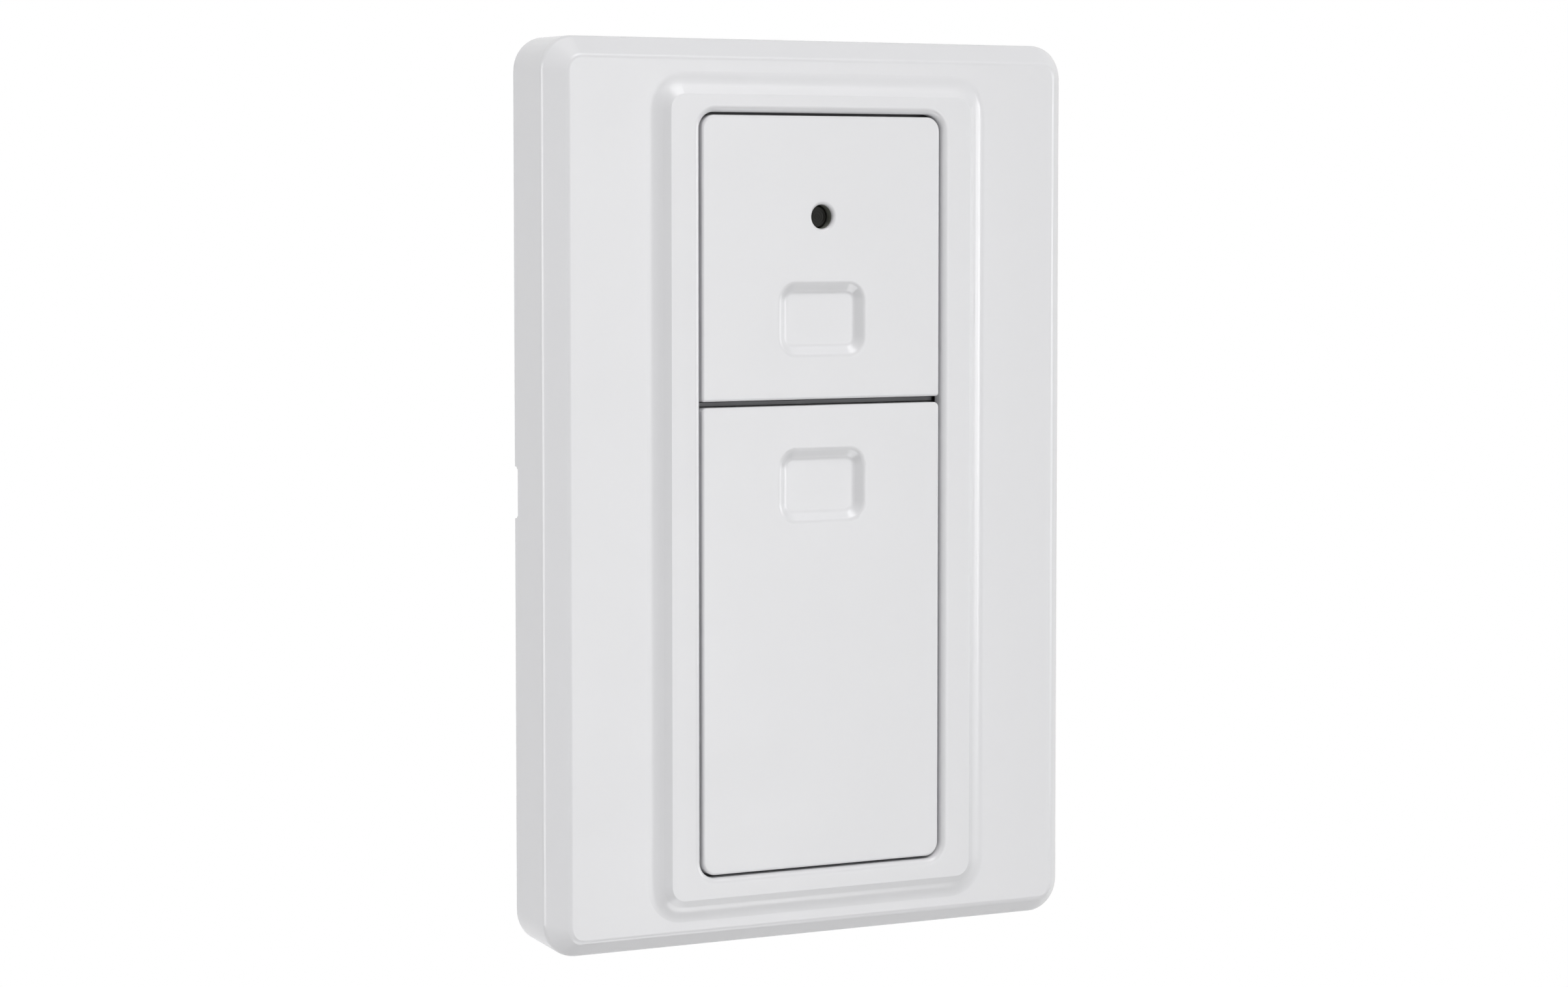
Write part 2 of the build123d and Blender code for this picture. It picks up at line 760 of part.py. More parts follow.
def switch_dome(level):
    """Thin snap dome on the floor of a push switch: a flat crown and a conical skirt."""
    floor = board_front + switch_floor
    crown = floor + dome_height
    with BuildPart() as dome:
        with BuildSketch(Plane.XY.offset(level)):
            with BuildLine():
                Polyline(
                    (0, -crown),
                    (dome_crown_radius, -crown),
                    (dome_radius, -floor),
                    (dome_radius - dome_thickness, -floor),
                    (dome_crown_radius - dome_thickness, -crown + dome_thickness),
                    (0, -crown + dome_thickness),
                    close=True,
                )
            make_face()
        revolve(axis=Axis((0, 0, level), (0, 1, 0)))
    return dome.part


def switch_terminals(level):
    """The four soldered feet of a push switch."""
    with BuildPart() as feet:
        with BuildSketch(at_depth(board_front)):
            with Locations((0, level)):
                with GridLocations(switch_size + terminal_reach, 2 * terminal_offset, 2, 2):
                    Rectangle(terminal_reach, terminal_width)
        extrude(amount=terminal_thickness)
    return feet.part


# Switch pieces, one set under each key's dimple
upper_switch_base = switch_base(upper_dimple_height)
upper_switch_base.label = "upper_switch_base"
upper_switch_cover = switch_cover(upper_dimple_height)
upper_switch_cover.label = "upper_switch_cover"
upper_switch_plunger = switch_plunger(upper_dimple_height)
upper_switch_plunger.label = "upper_switch_plunger"
upper_switch_dome = switch_dome(upper_dimple_height)
upper_switch_dome.label = "upper_switch_dome"
upper_switch_terminals = switch_terminals(upper_dimple_height)
upper_switch_terminals.label = "upper_switch_terminals"
lower_switch_base = switch_base(lower_dimple_height)
lower_switch_base.label = "lower_switch_base"
lower_switch_cover = switch_cover(lower_dimple_height)
lower_switch_cover.label = "lower_switch_cover"
lower_switch_plunger = switch_plunger(lower_dimple_height)
lower_switch_plunger.label = "lower_switch_plunger"
lower_switch_dome = switch_dome(lower_dimple_height)
lower_switch_dome.label = "lower_switch_dome"
lower_switch_terminals = switch_terminals(lower_dimple_height)
lower_switch_terminals.label = "lower_switch_terminals"

# Indicator lamp on the front of the board, its leads through the board
with BuildPart() as lamp_body:
    with BuildSketch(at_depth(board_front)):
        with Locations((0, lamp_level)):
            Circle(lamp_flange_radius)
    extrude(amount=lamp_flange_thickness)
    with BuildSketch(at_depth(board_front + lamp_flange_thickness)):
        with Locations((0, lamp_level)):
            Circle(lamp_radius)
    extrude(amount=lamp_length - lamp_flange_thickness)
    fillet(lamp_body.faces().sort_by(Axis.Y)[0].edges(), lamp_nose)
lamp_body.part.label = "lamp_body"

with BuildPart() as lamp_leads:
    with BuildSketch(at_depth(board_back - lead_length)):
        with Locations((0, lamp_level)):
            with GridLocations(lead_spacing, 0, 2, 1):
                Rectangle(lead_size, lead_size)
    extrude(amount=lead_length + board_thickness)
lamp_leads.part.label = "lamp_leads"

# Coin cell: steel can towards the wall, cap towards the board
with BuildPart() as battery_can:
    with BuildSketch(at_depth(cell_back)):
        with Locations((0, cell_level)):
            Circle(cell_radius)
    extrude(amount=cell_height - cap_height)
    fillet(battery_can.faces().sort_by(Axis.Y)[-1].edges(), cell_rim)
battery_can.part.label = "battery_can"

with BuildPart() as battery_cap:
    with BuildSketch(at_depth(cell_front - cap_height)):
        with Locations((0, cell_level)):
            Circle(cap_radius)
    extrude(amount=cap_height)
battery_cap.part.label = "battery_cap"

with BuildPart() as battery_contact:
    with BuildSketch(at_depth(cell_front)):
        with Locations((0, cell_level)):
            Circle(contact_radius)
    extrude(amount=contact_thickness)
battery_contact.part.label = "battery_contact"

# Clip over the cell: strap, two legs with soldered feet, and a stop at the upper end
with BuildPart() as battery_clip:
    with BuildSketch(at_depth(clip_back)):
        with Locations((0, cell_level)):
            Rectangle(2 * clip_outer, clip_width)
        with Locations((0, cell_level + (clip_width / 2 + clip_outer) / 2)):
            Rectangle(clip_stop_width, clip_outer - clip_width / 2)
    extrude(amount=clip_thickness)
    with BuildSketch(at_depth(clip_front)):
        with Locations((0, cell_level)):
            with GridLocations(clip_inner + clip_outer, 0, 2, 1):
                Rectangle(clip_thickness, clip_width)
    extrude(amount=board_back - clip_front)
    with BuildSketch(at_depth(board_back - clip_thickness)):
        with Locations((0, cell_level)):
            with GridLocations(2 * clip_outer + clip_foot, 0, 2, 1):
                Rectangle(clip_foot, clip_width)
    extrude(amount=clip_thickness)
    with BuildSketch(at_depth(clip_front)):
        with Locations((0, cell_level + clip_inner + clip_thickness / 2)):
            Rectangle(clip_stop_width, clip_thickness)
    extrude(amount=clip_stop_drop)
battery_clip.part.label = "battery_clip"

# Chips and small parts on the back of the board
with BuildPart() as microcontroller:
    with BuildSketch(at_depth(board_back - controller_height)):
        with Locations((controller_x, controller_z)):
            Rectangle(controller_size, controller_size)
    extrude(amount=controller_height)
microcontroller.part.label = "microcontroller"

with BuildPart() as radio_chip:
    with BuildSketch(at_depth(board_back - radio_height)):
        with Locations((radio_x, radio_z)):
            Rectangle(radio_size, radio_size)
    extrude(amount=radio_height)
radio_chip.part.label = "radio_chip"

with BuildPart() as crystal:
    with BuildSketch(at_depth(board_back - crystal_height)):
        with Locations((crystal_x, crystal_z)):
            RectangleRounded(crystal_width, crystal_length, crystal_width / 6)
    extrude(amount=crystal_height)
crystal.part.label = "crystal"

with BuildPart() as chip_capacitors:
    with BuildSketch(at_depth(board_back - chip_height)):
        with Locations((capacitor_x, capacitor_z)):
            with GridLocations(capacitor_pitch, 0, 4, 1):
                Rectangle(chip_width, chip_length)
    extrude(amount=chip_height)
chip_capacitors.part.label = "chip_capacitors"

with BuildPart() as chip_resistors:
    with BuildSketch(at_depth(board_back - resistor_height)):
        with Locations((resistor_x, resistor_z)):
            with GridLocations(resistor_pitch, 0, 5, 1):
                Rectangle(chip_width, chip_length)
    extrude(amount=resistor_height)
chip_resistors.part.label = "chip_resistors"

# Staple-shaped wire antenna along the board's right edge
with BuildPart() as antenna_wire:
    with BuildLine() as antenna_path:
        FilletPolyline(
            (antenna_x, -board_back, antenna_bottom),
            (antenna_x, -board_back + antenna_rise, antenna_bottom),
            (antenna_x, -board_back + antenna_rise, antenna_top),
            (antenna_x, -board_back, antenna_top),
            radius=antenna_bend,
        )
    with BuildSketch(at_depth(board_back)):
        with Locations((antenna_x, antenna_bottom)):
            Circle(antenna_radius)
    sweep(path=antenna_path.wires()[0])
antenna_wire.part.label = "antenna_wire"

# Pairing switch on the back of the board, pressed through the hole in the wall plate
with BuildPart() as learn_switch_base:
    with BuildSketch(at_depth(board_back - learn_height)):
        with Locations((learn_x, learn_z)):
            Rectangle(learn_size, learn_size)
    extrude(amount=learn_height)
    with BuildSketch(at_depth(board_back - learn_height)):
        with Locations((learn_x, learn_z)):
            Circle(learn_plunger_radius + learn_flange + switch_fit)
    extrude(amount=learn_flange_thickness + learn_travel_room, mode=Mode.SUBTRACT)
learn_switch_base.part.label = "learn_switch_base"

with BuildPart() as learn_switch_cover:
    with BuildSketch(at_depth(learn_top)):
        with Locations((learn_x, learn_z)):
            Rectangle(learn_size, learn_size)
            Circle(learn_plunger_radius + switch_fit, mode=Mode.SUBTRACT)
    extrude(amount=learn_cover)
learn_switch_cover.part.label = "learn_switch_cover"

with BuildPart() as learn_switch_plunger:
    with BuildSketch(at_depth(learn_top - learn_plunger_proud)):
        with Locations((learn_x, learn_z)):
            Circle(learn_plunger_radius)
    extrude(amount=learn_plunger_proud + learn_cover)
    with BuildSketch(at_depth(learn_top + learn_cover)):
        with Locations((learn_x, learn_z)):
            Circle(learn_plunger_radius + learn_flange)
    extrude(amount=learn_flange_thickness)
learn_switch_plunger.part.label = "learn_switch_plunger"

pieces = [
    front_frame.part,
    upper_button.part,
    lower_button.part,
    lamp_shroud.part,
    inner_carrier.part,
    key_bumpers.part,
    wall_plate.part,
    circuit_board.part,
    carrier_screws.part,
    board_screws.part,
    upper_switch_base,
    upper_switch_cover,
    upper_switch_plunger,
    upper_switch_dome,
    upper_switch_terminals,
    lower_switch_base,
    lower_switch_cover,
    lower_switch_plunger,
    lower_switch_dome,
    lower_switch_terminals,
    lamp_body.part,
    lamp_leads.part,
    battery_can.part,
    battery_cap.part,
    battery_contact.part,
    battery_clip.part,
    microcontroller.part,
    radio_chip.part,
    crystal.part,
    chip_capacitors.part,
    chip_resistors.part,
    antenna_wire.part,
    learn_switch_base.part,
    learn_switch_cover.part,
    learn_switch_plunger.part,
]
os.makedirs("parts", exist_ok=True)
for piece in pieces:
    export_step(piece, f"parts/{piece.label}.step")
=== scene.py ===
"""Dresses the two-key wall button of a garage door opener and sets up its studio.

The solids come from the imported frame. Each sub-assembly below is a class that dresses its solids
and models the small pieces that the solids leave out. Sizes of pieces are in millimetres: across,
depth from the wall, and height. The scales of textures and the studio are in metres.
"""
from __future__ import annotations

import logging
import math
from abc import ABC, abstractmethod
from collections.abc import Callable, Iterable, Sequence
from dataclasses import dataclass
from enum import Enum
from typing import ClassVar

import bmesh
import bpy
from mathutils import Matrix, Vector


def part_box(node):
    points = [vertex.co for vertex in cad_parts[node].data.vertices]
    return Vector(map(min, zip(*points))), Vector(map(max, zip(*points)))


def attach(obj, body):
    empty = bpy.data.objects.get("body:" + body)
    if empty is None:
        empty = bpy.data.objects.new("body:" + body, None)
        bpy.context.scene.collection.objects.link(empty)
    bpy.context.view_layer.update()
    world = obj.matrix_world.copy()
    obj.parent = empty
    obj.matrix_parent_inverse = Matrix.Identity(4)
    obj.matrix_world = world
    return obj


LOG = logging.getLogger("wall_button")
MM = 0.001
BOARD_BACK = 5.6
BOARD_FRONT = 6.6
SIDES = (-1.0, 1.0)
SUNK = 0.05
BARELY_SUNK = 0.01
FLAT = 0.9
SHARP_EDGE = 35.0
ROUND_JOINT = 60.0
SOLDER_CURVE = ((0.25, 0.45), (0.5, 0.2), (0.8, 0.06), (1.0, 0.0))
HALF_TURNS = [Matrix.Rotation(math.radians(180.0 * side), 4, "Y") for side in range(2)]
QUARTER_TURNS = [Matrix.Rotation(math.radians(90.0 * side), 4, "Y") for side in range(4)]

Colour = tuple[float, float, float]
Triple = tuple[float, float, float]
Spot = tuple[float, float]
Box = tuple[float, float, float, float]
Socket = bpy.types.NodeSocket
Value = float | tuple[float, ...] | Socket
BMPart = bmesh.types.BMFace | bmesh.types.BMEdge
Chooser = Callable[[Vector, Vector], bool]

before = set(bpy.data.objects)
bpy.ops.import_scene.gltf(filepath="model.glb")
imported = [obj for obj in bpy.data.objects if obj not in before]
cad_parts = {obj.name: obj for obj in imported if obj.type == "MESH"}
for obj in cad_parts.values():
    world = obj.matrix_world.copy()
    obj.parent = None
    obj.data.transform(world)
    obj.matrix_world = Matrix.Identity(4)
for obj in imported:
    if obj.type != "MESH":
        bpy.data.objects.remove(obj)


class Body(Enum):
    """The bodies that the new pieces ride on."""

    WALL_PLATE = "wall_plate"
    FRONT = "front"
    BATTERY = "battery"


class Slot(Enum):
    """The record's material slots, passed with each new piece."""

    PLATE = "plate_white"
    KEY = "key_white"
    CARRIER = "carrier_grey"
    BOARD = "board_green"
    TINNED = "tinned_brass"
    GOLD = "gold_contact"
    CELL = "cell_steel"
    SWITCH = "switch_black"


class Facing(Enum):
    """The side that a face looks to."""

    WALL = 1.0
    ROOM = -1.0


class Shine(Enum):
    """What a lamp does to a surface."""

    BOTH = "both"
    SOFT = "soft"
    GLOSS = "gloss"


def shade(red: int, green: int, blue: int) -> Colour:
    """Turns screen values into the linear colour that a shader takes.

    Args:
        red: Red, 0 to 255.
        green: Green, 0 to 255.
        blue: Blue, 0 to 255.

    Returns:
        The linear colour.
    """
    def linear(value: int) -> float:
        """Makes one channel linear."""
        part = value / 255.0
        return part / 12.92 if part <= 0.04045 else ((part + 0.055) / 1.055) ** 2.4

    return linear(red), linear(green), linear(blue)


def at(across: float, depth: float, height: float) -> Vector:
    """Makes a point in the frame from millimetres across, from the wall and up."""
    return Vector((across * MM, -depth * MM, height * MM))


# -------------------- materials


class Graph:
    """The node tree of a new material or world, around its shader."""

    def __init__(self, owner: bpy.types.ID, shader: str = "Principled BSDF") -> None:
        """Takes the nodes that Blender starts with.

        Args:
            owner: The material or world.
            shader: Name of its shader's node.
        """
        owner.use_nodes = True
        self.nodes = owner.node_tree.nodes
        self.links = owner.node_tree.links
        self.shader: bpy.types.Node = self.nodes[shader]

    def fill(self, target: Socket, value: Value) -> None:
        """Links an output to an input, or sets a plain value there.

        Args:
            target: The input.
            value: An output, a number, a colour or a vector.
        """
        if isinstance(value, Socket):
            self.links.new(value, target)
        else:
            target.default_value = (*value, 1.0) if target.type == "RGBA" else value

    def feed(self, **values: Value) -> None:
        """Fills inputs of the shader, named with underscores for spaces."""
        for name, value in values.items():
            self.fill(self.shader.inputs[name.replace("_", " ")], value)

    def node(self, kind: str, output: str, inputs: dict[str | int, Value],
             **settings: object) -> Socket:
        """Adds a node.

        Args:
            kind: Blender's name for the node's type.
            output: The output that is used.
            inputs: What its inputs are filled with, by name or place.
            settings: Properties to set on the node.

        Returns:
            The output's socket.
        """
        made = self.nodes.new(kind)
        for key, value in settings.items():
            setattr(made, key, value)
        for key, value in inputs.items():
            self.fill(made.inputs[key], value)
        return made.outputs[output]

    def place(self, scale: Triple = (1.0, 1.0, 1.0), centre: Triple = (0.0, 0.0, 0.0)) -> Socket:
        """Object coordinates, stretched about a point.

        Args:
            scale: Factor along each axis.
            centre: The point in metres that becomes the origin.

        Returns:
            The vector socket.
        """
        source = self.node("ShaderNodeTexCoord", "Object", {})
        shift = tuple(-c * s for c, s in zip(centre, scale))
        inputs = {"Vector": source, "Scale": scale, "Location": shift}
        return self.node("ShaderNodeMapping", "Vector", inputs)

    def noise(self, scale: float, detail: float = 2.0, place: Socket | None = None) -> Socket:
        """A noise of some features per metre and some octaves."""
        inputs = {"Vector": place or self.place(), "Scale": scale, "Detail": detail}
        return self.node("ShaderNodeTexNoise", "Fac", inputs)

    def wave(self, place: Socket, scale: float, distortion: float, **kind: str) -> Socket:
        """A wave whose type and direction are given as the node's settings."""
        inputs = {"Vector": place, "Scale": scale, "Distortion": distortion, "Detail": 1.0}
        return self.node("ShaderNodeTexWave", "Fac", inputs, **kind)

    def away(self, centre: Triple = (0.0, 0.0, 0.0)) -> Socket:
        """The distance from a point, in metres."""
        inputs = {0: self.place(centre=centre)}
        return self.node("ShaderNodeVectorMath", "Value", inputs, operation="LENGTH")

    def maths(self, operation: str, *values: Value) -> Socket:
        """Works a value out of up to three others."""
        return self.node("ShaderNodeMath", "Value", dict(enumerate(values)), operation=operation)

    def sum(self, first: Socket, second: Socket, share: float) -> Socket:
        """Adds a share of the second value to the first."""
        return self.maths("MULTIPLY_ADD", second, share, first)

    def seen(self) -> Socket:
        """Tells the rays that show a surface from those that carry its light.

        Returns:
            The socket that is 1 for camera, glossy and transmission rays.
        """
        camera, glossy, through = (self.node("ShaderNodeLightPath", f"Is {kind} Ray", {})
                                   for kind in ("Camera", "Glossy", "Transmission"))
        return self.maths("MAXIMUM", self.maths("MAXIMUM", camera, glossy), through)

    def span(self, value: Socket, low: float, high: float, start: float = 0.3,
             end: float = 0.7) -> Socket:
        """Spreads a value, a noise unless start and end say otherwise, from low to high."""
        inputs = {"From Min": start, "From Max": end, "To Min": low, "To Max": high}
        return self.node("ShaderNodeMapRange", "Result", {"Value": value, **inputs})

    def mix(self, factor: Socket, first: Value, second: Value) -> Socket:
        """Mixes two colours: factor 0 gives the first, 1 the second."""
        inputs = {"Factor": factor, "A": first, "B": second}
        return self.node("ShaderNodeMix", "Result", inputs, data_type="RGBA")

    def tones(self, factor: Socket, colour: Colour, darker: float, lighter: float) -> Socket:
        """Mixes two tones of a colour, given as shares of it; the lighter stops at white."""
        light = tuple(min(1.0, channel * lighter) for channel in colour)
        return self.mix(factor, tuple(channel * darker for channel in colour), light)

    def tone(self, factor: Socket, colour: Colour, change: float) -> None:
        """Gives the shader a colour that wanders by a share of itself either way."""
        self.feed(Base_Color=self.tones(factor, colour, 1.0 - change, 1.0 + change))

    def rough(self, value: Socket, low: float, high: float) -> None:
        """Gives the shader a roughness that a noise spreads from low to high."""
        self.feed(Roughness=self.span(value, low, high))

    def bump(self, height: Socket, relief: float) -> None:
        """Gives the shader a bump from heights of 0 to 1 and its relief in metres."""
        inputs = {"Height": height, "Strength": 1.0, "Distance": relief}
        self.feed(Normal=self.node("ShaderNodeBump", "Normal", inputs))


@dataclass(frozen=True)
class Finish(ABC):
    """The look of a surface."""

    name: str
    colour: Colour

    def material(self) -> bpy.types.Material:
        """Makes the finish's material."""
        self.paint(Graph(material := bpy.data.materials.new(self.name)))
        return material

    @abstractmethod
    def paint(self, graph: Graph) -> None:
        """Wires the material's nodes."""


@dataclass(frozen=True)
class MouldedPlastic(Finish):
    """Opaque moulded plastic: slight drift in tone, patches of sheen and the mould's fine grain."""

    roughness: float = 0.4
    drift: float = 0.012
    grain: float = 5000.0
    relief: float = 0.5e-6

    def paint(self, graph: Graph) -> None:
        """Wires the nodes.

        Args:
            graph: The nodes.
        """
        graph.tone(graph.span(graph.noise(45.0, 3.0), 0.0, 1.0), self.colour, self.drift)
        patches = graph.noise(130.0, 4.0)
        graph.rough(patches, self.roughness - 0.03, self.roughness + 0.03)
        graph.bump(graph.noise(self.grain, 3.0), self.relief)


@dataclass(frozen=True)
class SatinHousing(Finish):
    """Bright satin plastic of the shells, with the faint waviness of a thin moulded wall."""

    roughness: float = 0.24
    drift: float = 0.006
    wave: float = 1.2e-6

    def paint(self, graph: Graph) -> None:
        """Wires the nodes.

        Args:
            graph: The nodes.
        """
        graph.tone(graph.span(graph.noise(30.0, 4.0), 0.0, 1.0), self.colour, self.drift)
        patches = graph.noise(90.0, 5.0)
        graph.rough(patches, self.roughness - 0.02, self.roughness + 0.025)
        graph.feed(Specular_IOR_Level=0.6)
        grain = graph.noise(4200.0, 3.0)
        graph.bump(graph.sum(graph.noise(160.0, 2.0), grain, 0.12), self.wave)


@dataclass(frozen=True)
class SheetMetal(Finish):
    """Rolled or plated metal with fine lines one way and a few dull patches."""

    roughness: float = 0.28
    lines: Triple = (60.0, 3000.0, 3000.0)
    relief: float = 0.8e-6

    def paint(self, graph: Graph) -> None:
        """Wires the nodes.

        Args:
            graph: The nodes.
        """
        rolled = graph.noise(1.0, 3.0, graph.place(self.lines))
        dull = graph.noise(260.0, 4.0)
        graph.tone(graph.span(dull, 0.0, 1.0), self.colour, 0.06)
        patches = graph.span(dull, self.roughness - 0.06, self.roughness + 0.08)
        graph.feed(Roughness=graph.sum(patches, rolled, 0.08))
        graph.feed(Metallic=1.0)
        graph.bump(rolled, self.relief)


@dataclass(frozen=True)
class SolderMask(Finish):
    """Green lacquer over a glass weave, with bare laminate on the board's cut edges."""

    laminate: Colour
    weave: float = 2600.0 / 6.3

    def paint(self, graph: Graph) -> None:
        """Wires the nodes.

        Args:
            graph: The nodes.
        """
        across, along = (graph.wave(graph.place(), self.weave, 0.6, wave_type="BANDS",
                                    bands_direction=axis) for axis in "XZ")
        woven = graph.sum(across, along, 1.0)
        cloud = graph.noise(120.0, 4.0)
        depth = graph.sum(graph.span(woven, 0.0, 0.4, 0.0, 2.0), cloud, 0.6)
        normal = graph.node("ShaderNodeTexCoord", "Normal", {})
        facing = graph.node("ShaderNodeSeparateXYZ", "Y", {"Vector": normal})
        flat = graph.span(graph.maths("ABSOLUTE", facing), 0.0, 1.0, 0.4, 0.6)
        lacquer = graph.tones(depth, self.colour, 0.8, 1.2)
        graph.feed(Base_Color=graph.mix(flat, self.laminate, lacquer))
        graph.rough(cloud, 0.24, 0.34)
        graph.feed(Coat_Weight=0.3, Coat_Roughness=0.15)
        graph.bump(woven, 1.5e-6)


@dataclass(frozen=True)
class ChipResin(Finish):
    """Black filled resin of a chip, with a printed dot by its first leg."""

    dot: Triple
    dot_radius: float
    ink: Colour = (0.42, 0.42, 0.42)

    def paint(self, graph: Graph) -> None:
        """Wires the nodes.

        Args:
            graph: The nodes.
        """
        speckle = graph.noise(9000.0, 2.0)
        edge = self.dot_radius * 0.92
        printed = graph.span(graph.away(self.dot), 1.0, 0.0, edge, self.dot_radius)
        resin = graph.tones(graph.span(speckle, 0.0, 1.0), self.colour, 0.7, 1.4)
        graph.feed(Base_Color=graph.mix(printed, resin, self.ink))
        graph.rough(graph.noise(900.0, 3.0), 0.5, 0.66)
        graph.bump(speckle, 2.0e-6)


@dataclass(frozen=True)
class FiredCeramic(Finish):
    """Matt ceramic or glaze of the tiny chip parts."""

    roughness: float = 0.5

    def paint(self, graph: Graph) -> None:
        """Wires the nodes.

        Args:
            graph: The nodes.
        """
        speckle = graph.noise(5200.0, 4.0)
        graph.tone(graph.span(speckle, 0.0, 1.0), self.colour, 0.16)
        graph.rough(graph.noise(1500.0), self.roughness - 0.1, self.roughness + 0.1)
        graph.bump(speckle, 3.0e-6)


@dataclass(frozen=True)
class CellFoam(Finish):
    """Soft closed-cell foam with open pores on its skin and painted shade between its cells."""

    pores: float = 4200.0

    def paint(self, graph: Graph) -> None:
        """Wires the nodes.

        Args:
            graph: The nodes.
        """
        inputs = {"Vector": graph.place(), "Scale": self.pores}
        cells = graph.node("ShaderNodeTexVoronoi", "Distance", inputs, feature="DISTANCE_TO_EDGE")
        cell_relief_and_shade = graph.span(cells, 0.0, 1.0, 0.0, 0.25)
        # The colour darkens into the grooves between the cells and lightens on their domes: painted
        # shade and light that follow the relief.
        graph.tone(cell_relief_and_shade, self.colour, 0.35)
        graph.feed(Roughness=graph.span(cell_relief_and_shade, 0.95, 0.8, 0.0, 1.0))
        graph.feed(Sheen_Weight=0.2, Sheen_Roughness=0.5)
        graph.bump(cell_relief_and_shade, 12.0e-6)


@dataclass(frozen=True)
class SmokedLens(Finish):
    """Dark glossy lens of the lamp: faint lathe rings on its face, painted reflection in them,
    cloudiness inside.
    """

    rings: float = 900.0

    def paint(self, graph: Graph) -> None:
        """Wires the nodes.

        Args:
            graph: The nodes.
        """
        across, level = middle("lamp_body")
        axis = graph.place(centre=(across * MM, 0.0, level * MM))
        ring_relief_and_reflection = graph.wave(axis, self.rings, 0.0, wave_type="RINGS", rings_direction="Y")
        cloud = graph.noise(700.0, 3.0)
        # The rings band the colour lighter and darker as well as the bump: painted reflection. The
        # cloudiness varies the tone at random.
        graph.tone(graph.sum(cloud, ring_relief_and_reflection, 0.4), self.colour, 0.45)
        graph.rough(graph.noise(1600.0), 0.16, 0.24)
        graph.feed(IOR=1.45, Specular_IOR_Level=0.1)
        graph.bump(ring_relief_and_reflection, 6.0e-6)


@dataclass(frozen=True)
class BrightSolder(Finish):
    """Solder that has flowed and set, bright with dull crystal patches."""

    def paint(self, graph: Graph) -> None:
        """Wires the nodes.

        Args:
            graph: The nodes.
        """
        frost = graph.noise(3200.0, 5.0)
        graph.tone(graph.span(frost, 0.0, 1.0), self.colour, 0.08)
        graph.rough(frost, 0.16, 0.4)
        graph.feed(Metallic=1.0)
        graph.bump(frost, 4.0e-6)


@dataclass(frozen=True)
class EnamelledWire(Finish):
    """Copper wire under clear amber enamel."""

    lines: Triple = (5000.0, 5000.0, 120.0)

    def paint(self, graph: Graph) -> None:
        """Wires the nodes.

        Args:
            graph: The nodes.
        """
        drawn = graph.noise(1.0, 2.0, graph.place(self.lines))
        graph.tone(graph.span(graph.noise(800.0, 3.0), 0.0, 1.0), self.colour, 0.1)
        graph.rough(drawn, 0.25, 0.38)
        graph.feed(Metallic=1.0, Coat_Weight=0.8, Coat_Roughness=0.08)
        graph.bump(drawn, 1.0e-6)


WHITE = shade(227, 227, 229)
CASE_FINISH = SatinHousing("case_satin", WHITE)
KEY_FINISH = SatinHousing("key_satin", WHITE, roughness=0.22)
PLATE_FINISH = MouldedPlastic("plate_moulded", shade(225, 225, 226), roughness=0.36)
CARRIER_FINISH = MouldedPlastic("carrier_moulded", shade(96, 97, 100), roughness=0.42)
SHROUD_FINISH = MouldedPlastic("shroud_charcoal", shade(130, 131, 124), roughness=0.4)
SWITCH_FINISH = MouldedPlastic("switch_nylon", shade(38, 38, 40), roughness=0.45, drift=0.08)
PLUNGER_FINISH = MouldedPlastic("plunger_nylon", shade(30, 30, 32), roughness=0.34, drift=0.08)
LEARN_FINISH = MouldedPlastic("learn_amber", shade(232, 176, 34), roughness=0.34, drift=0.03)
GASKET_FINISH = MouldedPlastic("gasket_nylon", shade(34, 34, 36), roughness=0.4, drift=0.06)
FOAM_FINISH = CellFoam("bumper_foam", shade(44, 44, 46))
MASK_FINISH = SolderMask("board_lacquer", shade(24, 92, 58), shade(190, 176, 120))
TRACK_FINISH = MouldedPlastic("track_lacquer", shade(44, 124, 76), roughness=0.26, drift=0.06)
INK_FINISH = FiredCeramic("marking_ink", shade(228, 230, 226), roughness=0.6)
LENS_FINISH = SmokedLens("lens_smoked", shade(28, 28, 24))
STEEL_FINISH = SheetMetal("switch_steel", shade(206, 207, 208), roughness=0.25)
SCREW_FINISH = SheetMetal("screw_zinc", shade(196, 197, 200), roughness=0.26,
                          lines=(900.0, 900.0, 900.0))
CLIP_FINISH = SheetMetal("clip_spring_steel", shade(208, 206, 200), roughness=0.24)
CELL_FINISH = SheetMetal("cell_nickel", shade(214, 214, 212), roughness=0.2,
                         lines=(2600.0, 2600.0, 40.0))
TIN_FINISH = SheetMetal("tinned_leads", shade(212, 210, 204), roughness=0.3,
                        lines=(1500.0, 1500.0, 1500.0))
GOLD_FINISH = SheetMetal("contact_gold", shade(226, 190, 120), roughness=0.24)
CAN_FINISH = SheetMetal("crystal_can_nickel", shade(205, 206, 208), roughness=0.22)
SOLDER_FINISH = BrightSolder("solder_bright", shade(210, 211, 214))
WIRE_FINISH = EnamelledWire("antenna_enamel", shade(214, 130, 84))
CAPACITOR_FINISH = FiredCeramic("capacitor_ceramic", shade(176, 146, 104))
RESISTOR_FINISH = FiredCeramic("resistor_glaze", shade(32, 33, 36), roughness=0.32)

# -------------------- modelling


def pick(objects: Sequence[bpy.types.Object]) -> None:
    """Selects some objects and no others.

    Args:
        objects: The objects, the first of which becomes active.
    """
    bpy.ops.object.select_all(action="DESELECT")
    for piece in objects:
        piece.select_set(True)
    bpy.context.view_layer.objects.active = objects[0]


def looks(x: float, y: float, z: float) -> Chooser:
    """Chooses what looks to the right, to the wall, up, or between those."""
    way = Vector((x, y, z)).normalized()
    return lambda _, normal: normal.dot(way) > FLAT


